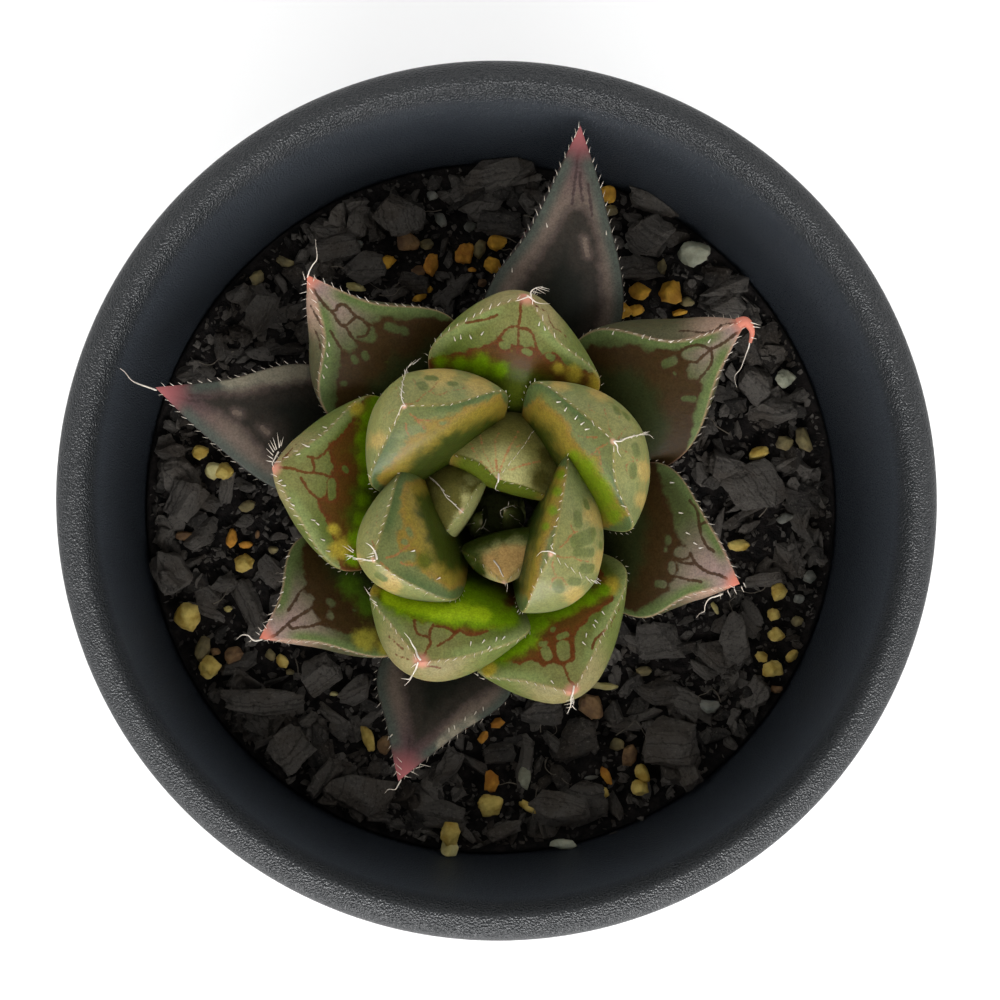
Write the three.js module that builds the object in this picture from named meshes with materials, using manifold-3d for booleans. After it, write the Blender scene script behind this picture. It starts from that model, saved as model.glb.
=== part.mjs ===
// A small haworthia in a round black nursery pot.
// Millimetres, +Z up. The origin is the middle of the pot's resting face.
import * as THREE from 'three';
import * as BufferGeometryUtils from 'three/addons/utils/BufferGeometryUtils.js';
import Module from 'manifold-3d';

const wasm = await Module();
wasm.setup();

// ---- Driving dimensions -------------------------------------------------

const CLEARANCE = 0.3;          // gap kept between pieces that rest on each other

const POT = {
  rimRadius: 40,                // outside of the lip
  height: 70,
  wall: 1.3,
  taper: 0.1325,                // growth of the radius per millimetre of height
  mouthRadius: 36.4,            // inside of the wall just under the lip
  mouthDepth: 3.2,              // from the top of the lip down to the mouth
  bandHeight: 9.5,              // thickened band under the lip
  bandStep: 1.9,                // how far the band stands out from the wall
  bandSlope: 0.5,
  crestRadius: 37.8,            // highest ring of the lip
  lipDrop: 1.5,                 // from the crest down to the band's upright face
  outerLipSteps: 4,
  innerLipSteps: 5,
  floorTop: 2.6,
  floorRound: 1,
  footHeight: 1.2,
  footWidth: 2.6,
  footChamfer: [0.4, 0.5],
  footDraft: 0.3,
  drainCentreDiameter: 8,
  drainDiameter: 7,
  drainCircleRadius: 16,
  drainCount: 6,
  notchWidth: 6,
  notchCount: 4,
  sides: 60,
};

const SOIL_TOP = 52.5;
const STEM = {
  x: -0.1,
  y: -1.0,
  radius: 3.3,
  rise: 7.4,
  root: 7,
  rootRadius: 0.6,              // this and the other radii below are shares of the stem's
  shoulderRadius: 0.8,
  crownRadius: 0.45,
  shoulder: [3.5, 1],           // from the top down to where the shoulder starts and ends
  collar: 1,                    // from the mix down to where the root narrows
  sides: 20,
};

// Each leaf has its own frame on the stem's axis: u runs outwards along its turn, v to the
// left of that, and the height is above the potting mix. Both margins and the keel run from
// the base past a shoulder and a near point to the tip. base is [u, height, width, depth].
const LEAVES = {
  leaf_bud_left: {
    turn: 185, base: [0.9, 8.3, 1.5, 0.8], tip: [1.6, 1.2, 13.0],
    left: [[2.1, 2.5, 10.5], [1.8, 2.0, 12.3]],
    right: [[1.4, 0.0, 10.5], [1.5, 0.3, 12.3]],
    keel: [[2.9, 1.2, 10.5], [2.4, 1.2, 12.3]],
  },
  leaf_bud_right: {
    turn: -30, base: [0.9, 8.3, 1.5, 0.8], tip: [0.5, 0.1, 13.5],
    left: [[1.6, 1.2, 10.5], [1.0, 0.8, 12.6]],
    right: [[1.3, -1.5, 10.5], [0.9, -0.8, 12.6]],
    keel: [[2.9, -0.2, 10.5], [1.7, -0.1, 12.6]],
  },
  leaf_heart_front: {
    turn: -86, base: [2.2, 8.2, 2.0, 1.0], tip: [7.1, -0.1, 16.0],
    left: [[2.3, 4.2, 14.3], [5.1, 2.0, 15.5]],
    right: [[3.6, -3.8, 13.9], [4.9, -2.2, 15.3]],
    keel: [[5.9, 0.5, 10.5], [6.9, 0.1, 14.3]],
  },
  leaf_heart_left: {
    turn: 172, base: [2.0, 7.7, 2.4, 1.2], tip: [3.3, 1.1, 17.5],
    left: [[5.1, 5.2, 13.0], [4.2, 2.4, 16.3]],
    right: [[1.3, -2.7, 14.0], [2.5, -0.9, 16.7]],
    keel: [[8.3, -2.7, 11.0], [5.6, -0.9, 16.5]],
  },
  leaf_heart_back: {
    turn: 78, base: [2.0, 7.7, 2.4, 1.2], tip: [2.1, 0.8, 19.0],
    left: [[3.6, 7.3, 14.5], [3.3, 2.9, 17.5]],
    right: [[1.5, -5.1, 14.5], [2.0, -2.0, 17.3]],
    keel: [[9.2, -2.2, 11.5], [5.6, -0.9, 16.9]],
  },
  leaf_inner_front_right: {
    turn: -47, base: [3.0, 6.4, 3.2, 1.5], tip: [6.2, 0, 21.5],
    left: [[0.8, 7.4, 17.9], [3.9, 3.3, 20.9]],
    right: [[8.4, -5.2, 17.5], [7.2, -2.5, 20.3]],
    keel: [[9.6, 2.4, 11.5], [10.5, 1.3, 18.7]],
  },
  leaf_inner_front_left: {
    turn: -156, base: [3.2, 6.0, 3.4, 1.5], tip: [12.5, 0, 21.0],
    left: [[7.2, 6.2, 17.0], [10.2, 3.4, 19.8]],
    right: [[6.6, -6.6, 17.7], [9.8, -3.1, 20.1]],
    keel: [[10.4, 0.2, 10.5], [13.7, -0.8, 18.0]],
  },
  leaf_inner_back_left: {
    turn: 136, base: [3.2, 6.4, 3.4, 1.5], tip: [12.1, 0, 22.0],
    left: [[9.6, 6.9, 18.0], [11.2, 3.1, 20.9]],
    right: [[6.7, -7.6, 18.0], [9.4, -3.0, 20.9]],
    keel: [[12.6, -2.8, 10.5], [14.2, -2.3, 19.0]],
  },
  leaf_inner_back_right: {
    turn: 29, base: [3.2, 6.2, 3.4, 1.5], tip: [11.2, 0, 21.5],
    left: [[7.9, 8.3, 18.0], [9.9, 4.0, 20.7]],
    right: [[9.3, -7.7, 17.5], [9.7, -3.2, 20.5]],
    keel: [[13.3, 0.1, 10.5], [14.2, -0.6, 18.7]],
  },
  leaf_middle_front_left: {
    turn: -117, base: [3.4, 4.6, 3.8, 1.7], tip: [15.8, 0, 19.5],
    left: [[8.6, 7.7, 15.5], [13.2, 3.7, 18.3]],
    right: [[12.2, -7.0, 15.5], [14.2, -3.4, 18.5]],
    keel: [[13.5, 0.5, 8.5], [17.3, -0.1, 17.0]],
  },
  leaf_middle_back: {
    turn: 83, base: [3.4, 4.8, 3.8, 1.7], tip: [18.8, 0, 19.5],
    left: [[13.0, 8.2, 15.5], [16.8, 4.0, 18.5]],
    right: [[12.4, -7.9, 15.0], [15.5, -3.1, 18.1]],
    keel: [[16.4, -0.2, 8.5], [19.4, -0.8, 16.5]],
  },
  leaf_middle_left: {
    turn: 171, base: [3.4, 4.2, 3.8, 1.7], tip: [20.7, 0, 18.5],
    left: [[13.2, 8.1, 13.5], [17.9, 3.8, 17.0]],
    right: [[12.9, -8.5, 13.5], [17.0, -3.5, 17.5]],
    keel: [[16.6, -0.6, 7.5], [20.0, -1.4, 16.0]],
  },
  leaf_middle_front_right: {
    turn: -69, base: [3.4, 4.0, 3.8, 1.7], tip: [18.0, 0, 18.0],
    left: [[9.4, 8.9, 14.5], [14.4, 4.2, 16.9]],
    right: [[13.1, -7.4, 14.0], [15.7, -3.4, 16.5]],
    keel: [[14.5, 0.9, 6.8], [18.8, -0.2, 15.0]],
  },
  leaf_outer_right: {
    turn: -18, base: [3.6, 3.4, 4.0, 1.8], tip: [22.9, 0, 16.5],
    left: [[13.2, 8.8, 12.5], [18.6, 4.5, 15.5]],
    right: [[15.6, -5.7, 12.5], [19.0, -2.3, 15.5]],
    keel: [[16.0, 1.6, 5.5], [21.0, -0.7, 13.0]],
  },
  leaf_outer_back_left: {
    turn: 130, base: [3.6, 3.2, 4.0, 1.8], tip: [27.3, 0, 16.5],
    left: [[17.6, 6.5, 12.5], [22.3, 2.2, 15.5]],
    right: [[16.0, -8.2, 12.5], [21.9, -2.9, 15.5]],
    keel: [[20.0, 1.6, 5.5], [24.6, 2.2, 13.5]],
  },
  leaf_outer_front_left: {
    turn: -151, base: [3.6, 3.0, 4.0, 1.8], tip: [24.8, 0, 15.5],
    left: [[14.9, 7.3, 11.5], [20.6, 2.7, 14.5]],
    right: [[17.6, -6.5, 11.5], [21.5, -2.4, 14.5]],
    keel: [[18.0, 0.4, 4.8], [22.1, 1.5, 12.5]],
  },
  leaf_outer_back_right: {
    turn: 37, base: [3.6, 3.2, 4.0, 1.8], tip: [28.3, 0, 16.5],
    left: [[16.5, 8.1, 12.5], [22.1, 2.3, 15.9]],
    right: [[16.7, -6.5, 12.5], [23.7, -2.2, 15.7]],
    keel: [[20.5, 3.0, 5.5], [26.1, 2.4, 13.5]],
  },
  leaf_low_front: {
    turn: -110, base: [3.8, 2.0, 4.0, 1.3], tip: [26.8, 0, 11.5],
    left: [[15.4, 7.4, 7.0], [21.4, 3.5, 9.5]],
    right: [[18.0, -5.4, 7.0], [22.6, -2.7, 9.5]],
    keel: [[17.0, 0.5, 3.0], [22.6, -0.1, 7.0]],
  },
  leaf_low_back: {
    turn: 78, base: [3.8, 2.2, 4.0, 1.5], tip: [36.3, 0, 14.5],
    left: [[19.3, 5.4, 9.0], [26.3, 2.5, 12.3]],
    right: [[19.8, -8.0, 9.0], [29.5, -4.1, 12.7]],
    keel: [[21.7, -1.4, 4.5], [30.2, -0.9, 10.5]],
  },
  leaf_low_left: {
    turn: 161, base: [3.8, 2.1, 4.0, 1.4], tip: [33.2, 0, 14.5],
    left: [[19.3, 5.1, 9.0], [27.4, 2.7, 12.5]],
    right: [[20.4, -7.4, 9.0], [27.9, -2.8, 12.7]],
    keel: [[20.3, -1.0, 4.5], [28.1, -0.4, 10.0]],
  },
};

const LEAF = {
  stations: [0, 0.08, 0.17, 0.26, 0.35, 0.45, 0.55, 0.66, 0.77, 0.87, 0.95],
  faceSteps: 4,                 // steps across each of a leaf's three faces
  topBulge: 0.08,               // crown of the upper face, as a share of its width
  backBulge: 0.25,              // crown of the two faces beside the keel
  roundness: 0.95,              // below 1, a face turns down faster at its edges
  fullAt: 0.6,                  // share of the way to the tip where the back is full
};

const LEAF_COLOURS = { bud: 0x3a4a2c, heart: 0x66744f, inner: 0x86945f, middle: 0x7c8f5a,
  outer: 0x7a7765, low: 0x55464a };

// Loose pieces on top of the mix: [x, y, length, width, height, turn in degrees].
const CHARCOAL_CHIPS = [
  [-22.4, -19.3, 8.6, 3.0, 2.6, 4], [-19.8, -24.0, 5.4, 5.0, 3.0, 70],
  [-13.2, -28.6, 8.0, 3.8, 2.6, -22], [26.1, 1.8, 9.2, 2.2, 2.0, 38],
  [6.1, -30.0, 6.4, 4.4, 2.6, -10], [-31.0, -6.7, 4.4, 4.0, 2.8, 80],
  [-30.3, 0.2, 5.0, 4.2, 2.8, -60], [-9.4, 28.4, 6.2, 4.4, 2.8, 25],
  [15.2, 27.0, 6.0, 4.2, 2.6, 15], [17.3, -23.2, 6.2, 5.6, 3.0, 50],
  [23.8, -13.4, 5.4, 3.6, 2.6, 80], [-22.9, 18.9, 5.0, 3.8, 2.6, 30],
];
const YELLOW_GRAINS = [
  [0.2, 26.1, 2.0, 1.8, 1.7, 0], [-0.2, 23.8, 1.9, 1.7, 1.6, 40],
  [-29.9, -11.1, 3.0, 2.4, 2.2, -70], [-27.7, -16.0, 2.6, 2.3, 2.0, 20],
  [-0.4, -29.4, 2.7, 2.4, 2.2, 10], [-4.2, -32.1, 3.4, 2.0, 2.0, 80],
  [14.5, 21.3, 2.2, 2.0, 1.8, 0], [17.8, 21.1, 2.9, 2.4, 2.2, 20],
  [12.6, 19.3, 2.3, 1.7, 1.7, -20], [24.2, -4.0, 2.4, 1.3, 1.3, -8],
  [28.2, -8.6, 2.2, 1.7, 1.6, 60], [27.5, -16.3, 2.4, 2.0, 1.8, 0],
  [-26.4, 3.2, 2.0, 1.8, 1.6, 30], [-24.4, -5.9, 2.8, 1.2, 1.2, -45],
  [14.4, -27.8, 2.0, 1.7, 1.6, 0], [-10.5, 24.0, 1.9, 1.6, 1.6, 0],
  [11.4, 31.0, 2.4, 1.8, 1.6, -20],
];
const PALE_GRAINS = [
  [20.0, 25.2, 3.4, 2.9, 2.0, 0], [6.6, -33.3, 3.0, 1.0, 1.0, 4],
  [3.0, -26.6, 2.8, 1.0, 1.0, 70], [29.0, 12.6, 2.6, 1.6, 1.4, -30],
];

const COLOURS = { pot: 0x1b1d21, mix: 0x18171a, stem: 0x6f7a4a, charcoal: 0x1d1c20,
  yellow: 0xc29a3a, pale: 0xb9b49c };

// ---- Solids -------------------------------------------------------------

const degrees = THREE.MathUtils.degToRad;

function toSolid(geometry) {
  const bare = geometry.index ? geometry.clone() : geometry;
  bare.deleteAttribute('normal');
  bare.deleteAttribute('uv');
  const merged = BufferGeometryUtils.mergeVertices(bare, 1e-4);
  return new wasm.Manifold(new wasm.Mesh({
    numProp: 3,
    vertProperties: new Float32Array(merged.attributes.position.array),
    triVerts: new Uint32Array(merged.index.array),
  }));
}

function toGeometry(solid) {
  const mesh = solid.getMesh();
  const geometry = new THREE.BufferGeometry();
  geometry.setAttribute('position', new THREE.BufferAttribute(mesh.vertProperties, 3));
  geometry.setIndex(new THREE.BufferAttribute(mesh.triVerts, 1));
  geometry.computeVertexNormals();
  return geometry;
}

function largestPiece(solid) {
  return solid.decompose().reduce((best, piece) => (piece.volume() > best.volume() ? piece : best));
}

function lathe(profile, sides) {
  const geometry = new THREE.LatheGeometry(profile.map(([r, z]) => new THREE.Vector2(r, z)), sides);
  return geometry.rotateX(Math.PI / 2);
}

// ---- Pot ----------------------------------------------------------------

function innerRadius(z) {
  return POT.mouthRadius - POT.taper * (POT.height - POT.mouthDepth - z);
}

// Up the broad outer round of the lip, then down its steeper inner shoulder to the mouth.
function lipArc() {
  const { height, rimRadius, crestRadius, lipDrop, mouthRadius, mouthDepth } = POT;
  const arc = (steps, point) => Array.from({ length: steps + 1 },
    (_, i) => point((Math.PI * i) / (2 * steps)));
  const outside = arc(POT.outerLipSteps,
    (angle) => [crestRadius + (rimRadius - crestRadius) * Math.cos(angle),
      height - lipDrop * (1 - Math.sin(angle))]);
  const inside = arc(POT.innerLipSteps,
    (angle) => [crestRadius - (crestRadius - mouthRadius) * Math.sin(angle),
      height - mouthDepth * (1 - Math.cos(angle))]);
  return [...outside, ...inside.slice(1)];
}

function potShell() {
  const { height, wall, footHeight, footWidth, footDraft, footChamfer, floorTop, floorRound } = POT;
  const footRadius = innerRadius(0) + wall;
  const bandFoot = height - POT.bandHeight;
  const bandRadius = innerRadius(bandFoot) + wall;
  return lathe([
    [0, footHeight],
    [footRadius - footWidth, footHeight],
    [footRadius - footWidth + footDraft, 0],
    [footRadius - footChamfer[0], 0],
    [footRadius, footChamfer[1]],
    [bandRadius, bandFoot],
    [bandRadius + POT.bandStep, bandFoot + POT.bandSlope],
    ...lipArc(),
    [innerRadius(floorTop + floorRound), floorTop + floorRound],
    [innerRadius(floorTop) - floorRound, floorTop],
    [0, floorTop],
  ], POT.sides);
}

function drainHole(x, y, diameter) {
  const hole = new THREE.CylinderGeometry(diameter / 2, diameter / 2, POT.floorTop * 3, 16);
  return hole.rotateX(Math.PI / 2).translate(x, y, 0);
}

function footNotch(index) {
  const notch = new THREE.BoxGeometry(POT.rimRadius, POT.notchWidth, POT.footHeight);
  return notch.translate(POT.rimRadius / 2 + POT.drainCircleRadius, 0, 0)
    .rotateZ((2 * Math.PI * (index + 0.5)) / POT.notchCount);
}

function potGeometry() {
  const holes = Array.from({ length: POT.drainCount }, (_, i) => {
    const angle = (2 * Math.PI * i) / POT.drainCount;
    return drainHole(POT.drainCircleRadius * Math.cos(angle),
      POT.drainCircleRadius * Math.sin(angle), POT.drainDiameter);
  });
  const notches = Array.from({ length: POT.notchCount }, (_, i) => footNotch(i));
  const cuts = [drainHole(0, 0, POT.drainCentreDiameter), ...holes, ...notches];
  return toGeometry(cuts.reduce((pot, cut) => pot.subtract(toSolid(cut)), toSolid(potShell())));
}

// ---- Stem and potting mix -----------------------------------------------

function stemGeometry(grow) {
  const radius = STEM.radius + grow;
  const top = SOIL_TOP + STEM.rise + grow;
  const foot = SOIL_TOP - STEM.root - grow;
  return lathe([
    [0, foot],
    [radius * STEM.rootRadius, foot],
    [radius, SOIL_TOP - STEM.collar],
    [radius, top - STEM.shoulder[0]],
    [radius * STEM.shoulderRadius, top - STEM.shoulder[1]],
    [radius * STEM.crownRadius, top],
    [0, top],
  ], STEM.sides).translate(STEM.x, STEM.y, 0);
}

function mixGeometry() {
  const foot = POT.floorTop + CLEARANCE;
  const round = POT.floorRound;
  const block = lathe([
    [0, foot],
    [innerRadius(foot) - round - CLEARANCE, foot],
    [innerRadius(foot + round) - CLEARANCE, foot + round],
    [innerRadius(SOIL_TOP) - CLEARANCE, SOIL_TOP],
    [0, SOIL_TOP],
  ], POT.sides);
  return toGeometry(toSolid(block).subtract(toSolid(stemGeometry(CLEARANCE))));
}

// ---- Leaves -------------------------------------------------------------

const vector = (point) => new THREE.Vector3(...point);

function ridge(start, points, tip) {
  return new THREE.CatmullRomCurve3([vector(start), ...points.map(vector), vector(tip)]);
}

function ridges({ base, tip, left, right, keel }) {
  const [u, height, width, depth] = base;
  return [
    ridge([u, width / 2, height + depth / 2], left, tip),
    ridge([u, -width / 2, height + depth / 2], right, tip),
    ridge([u + depth / 2, 0, height - depth / 2], keel, tip),
  ];
}

function facePoints(from, to, centre, bulge) {
  const chord = to.clone().sub(from);
  const outward = from.clone().lerp(to, 0.5).sub(centre);
  outward.addScaledVector(chord, -outward.dot(chord) / chord.lengthSq()).normalize();
  return Array.from({ length: LEAF.faceSteps }, (_, i) => {
    const t = i / LEAF.faceSteps;
    const crown = bulge * chord.length() * (4 * t * (1 - t)) ** LEAF.roundness;
    return from.clone().lerp(to, t).addScaledVector(outward, crown);
  });
}

function leafSection(curves, t, grow) {
  const [left, right, keel] = curves.map((curve) => curve.getPoint(t));
  const centre = left.clone().add(right).add(keel).divideScalar(3);
  const backBulge = LEAF.backBulge * THREE.MathUtils.smoothstep(t, 0, LEAF.fullAt);
  const ring = [
    ...facePoints(left, keel, centre, backBulge),
    ...facePoints(keel, right, centre, backBulge),
    ...facePoints(right, left, centre, LEAF.topBulge),
  ];
  return ring.map((p) => p.clone().addScaledVector(p.clone().sub(centre).normalize(), grow));
}

function leafGeometry(leaf, grow) {
  const curves = ridges(leaf);
  const rings = LEAF.stations.map((t) => leafSection(curves, t, grow));
  const around = rings[0].length;
  const points = rings.flat();
  const baseCentre = points.length;
  const baseMiddle = rings[0].reduce((sum, p) => sum.add(p), new THREE.Vector3());
  const apex = vector(leaf.tip);
  apex.addScaledVector(apex.clone().sub(curves[2].getPoint(0.9)).normalize(), grow);
  points.push(baseMiddle.divideScalar(around), apex);
  const faces = [];
  for (let i = 0; i < around; i += 1) {
    const j = (i + 1) % around;
    for (let k = 0; k + 1 < rings.length; k += 1) {
      const a = k * around;
      const b = a + around;
      faces.push(a + i, b + i, b + j, a + i, b + j, a + j);
    }
    const last = (rings.length - 1) * around;
    faces.push(last + i, baseCentre + 1, last + j, baseCentre, i, j);
  }
  const geometry = new THREE.BufferGeometry();
  geometry.setAttribute('position',
    new THREE.Float32BufferAttribute(points.flatMap((p) => p.toArray()), 3));
  geometry.setIndex(faces);
  return geometry.rotateZ(degrees(leaf.turn)).translate(STEM.x, STEM.y, SOIL_TOP);
}

// The leaves are laid from the heart outwards, and each one is hollowed where it lies
// against the younger leaves that it wraps.
function leafGeometries() {
  const taken = [toSolid(stemGeometry(CLEARANCE))];
  return Object.fromEntries(Object.entries(LEAVES).map(([name, leaf]) => {
    const cut = taken.reduce((solid, other) => solid.subtract(other), toSolid(leafGeometry(leaf, 0)));
    taken.push(toSolid(leafGeometry(leaf, CLEARANCE)));
    return [name, toGeometry(largestPiece(cut))];
  }));
}

// ---- Loose pieces on the mix ---------------------------------------------

// A repeatable number between -1 and 1.
function wobble(seed) {
  return 2 * THREE.MathUtils.seededRandom(Math.round(seed * 1000)) - 1;
}

function loosePiece([x, y, length, width, height, turn], blank, unevenness) {
  const geometry = BufferGeometryUtils.mergeVertices(blank.deleteAttribute('normal')
    .deleteAttribute('uv'));
  const position = geometry.attributes.position;
  for (let i = 0; i < position.count; i += 1) {
    const swell = 1 + unevenness * wobble(i * 7.3 + x * 3.1 + y);
    position.setXYZ(i, position.getX(i) * swell, position.getY(i) * swell, position.getZ(i) * swell);
  }
  geometry.scale(length / 2, width / 2, height / 2).rotateZ(degrees(turn));
  geometry.computeBoundingBox();
  return geometry.translate(x, y, SOIL_TOP + CLEARANCE - geometry.boundingBox.min.z);
}

const chipBlank = () => new THREE.DodecahedronGeometry(1, 0);
const grainBlank = () => new THREE.IcosahedronGeometry(1, 1);

// ---- Assembly ------------------------------------------------------------

const group = new THREE.Group();

function add(name, geometry, color, roughness) {
  const material = new THREE.MeshStandardMaterial({ color, roughness, metalness: 0 });
  const mesh = new THREE.Mesh(geometry, material);
  mesh.name = name;
  group.add(mesh);
}

function addLoose(name, rows, blank, unevenness, color) {
  rows.forEach((row, i) => {
    const number = String(i + 1).padStart(2, '0');
    add(`${name}_${number}`, loosePiece(row, blank(), unevenness), color, 0.9);
  });
}

add('pot', potGeometry(), COLOURS.pot, 0.45);
add('potting_mix', mixGeometry(), COLOURS.mix, 0.95);
add('stem', stemGeometry(0), COLOURS.stem, 0.6);
Object.entries(leafGeometries()).forEach(([name, geometry]) => {
  add(name, geometry, LEAF_COLOURS[name.split('_')[1]], 0.4);
});
addLoose('charcoal_chip', CHARCOAL_CHIPS, chipBlank, 0.16, COLOURS.charcoal);
addLoose('yellow_grain', YELLOW_GRAINS, grainBlank, 0.12, COLOURS.yellow);
addLoose('pale_grain', PALE_GRAINS, grainBlank, 0.12, COLOURS.pale);

export default group;
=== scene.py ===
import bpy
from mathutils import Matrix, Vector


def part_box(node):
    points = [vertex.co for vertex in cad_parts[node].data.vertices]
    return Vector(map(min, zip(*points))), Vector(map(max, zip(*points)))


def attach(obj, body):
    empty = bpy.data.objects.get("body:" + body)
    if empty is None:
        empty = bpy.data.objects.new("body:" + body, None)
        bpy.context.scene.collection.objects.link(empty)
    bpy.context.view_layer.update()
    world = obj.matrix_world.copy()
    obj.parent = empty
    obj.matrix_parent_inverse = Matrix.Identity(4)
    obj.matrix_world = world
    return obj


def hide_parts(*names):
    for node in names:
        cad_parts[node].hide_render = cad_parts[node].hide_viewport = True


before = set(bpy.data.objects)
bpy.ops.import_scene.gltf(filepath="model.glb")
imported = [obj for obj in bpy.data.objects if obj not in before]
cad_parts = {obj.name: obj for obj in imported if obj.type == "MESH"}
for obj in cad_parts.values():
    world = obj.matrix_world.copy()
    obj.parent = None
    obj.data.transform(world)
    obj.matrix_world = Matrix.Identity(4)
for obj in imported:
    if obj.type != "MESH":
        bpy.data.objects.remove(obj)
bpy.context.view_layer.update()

import math

import bmesh
import bpy
import numpy as np
from mathutils import Matrix, Vector, noise

# A small haworthia in a round black nursery pot. Sizes are in millimetres unless a name says
# otherwise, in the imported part's own frame: +Z up, the middle of the pot's foot at the origin.

MM = 0.001
RANDOM = np.random.default_rng(11)

# ---- View: almost straight down, leaning a little to the front and the left -------------------

VIEW_TARGET = np.array([-0.157, -0.569, 70.0])
VIEW_LEAN = np.array([-0.045, -0.06, 1.0])
VIEW_DISTANCE = 170.0
SENSOR_WIDTH = 36.0
LENS = 68.02
LIGHT_TARGET = Vector((0, 0, 0.06))
FLOOR_HALF = 600.0

# ---- Pot --------------------------------------------------------------------------------------

POT_STEPS = 288
POT_RADIUS = 40.0
POT_HEIGHT = 70.0
POT_WALL = 1.3
POT_TAPER = 0.1325  # how far the wall leans out in a millimetre of height
MOUTH_RADIUS = 36.4
MOUTH_DEPTH = 3.2
BAND_HEIGHT = 9.5
BAND_STEP = 1.9
CREST_RADIUS = 37.8  # highest ring of the lip
LIP_DROP = 1.5  # from the crest down to the band's upright face
FLOOR_TOP = 2.6
FOOT_HEIGHT = 1.2
FOOT_WIDTH = 2.6
DRAIN_RADII = (4.0, 3.5)
DRAIN_CIRCLE = 16.0
DRAIN_COUNT = 6
NOTCH_WIDTH = 6.0
NOTCH_COUNT = 4

# ---- Potting mix ------------------------------------------------------------------------------

SOIL_TOP = 52.5
SOIL_RINGS, SOIL_STEPS = 120, 360
SWELL, SWELL_PITCH = 0.5, 0.09
CRUMBLE, CRUMBLE_PITCH = 0.45, 0.45
SEAT_GAP = 0.3  # between the mix and the pot
WALL_CLEARANCE = 0.15  # between the pot and the loose pieces
CHIP_HEIGHT = 2.6  # of the thickest loose chip
FIBRE_COUNT = 46
BACK_OF_PLANT = 15.0  # grains beyond this are the golden ones

STEM_X, STEM_Y = -0.1, -1.0
STEM_ROWS, STEM_STEPS = 60, 96

# ---- Leaves -----------------------------------------------------------------------------------

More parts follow.
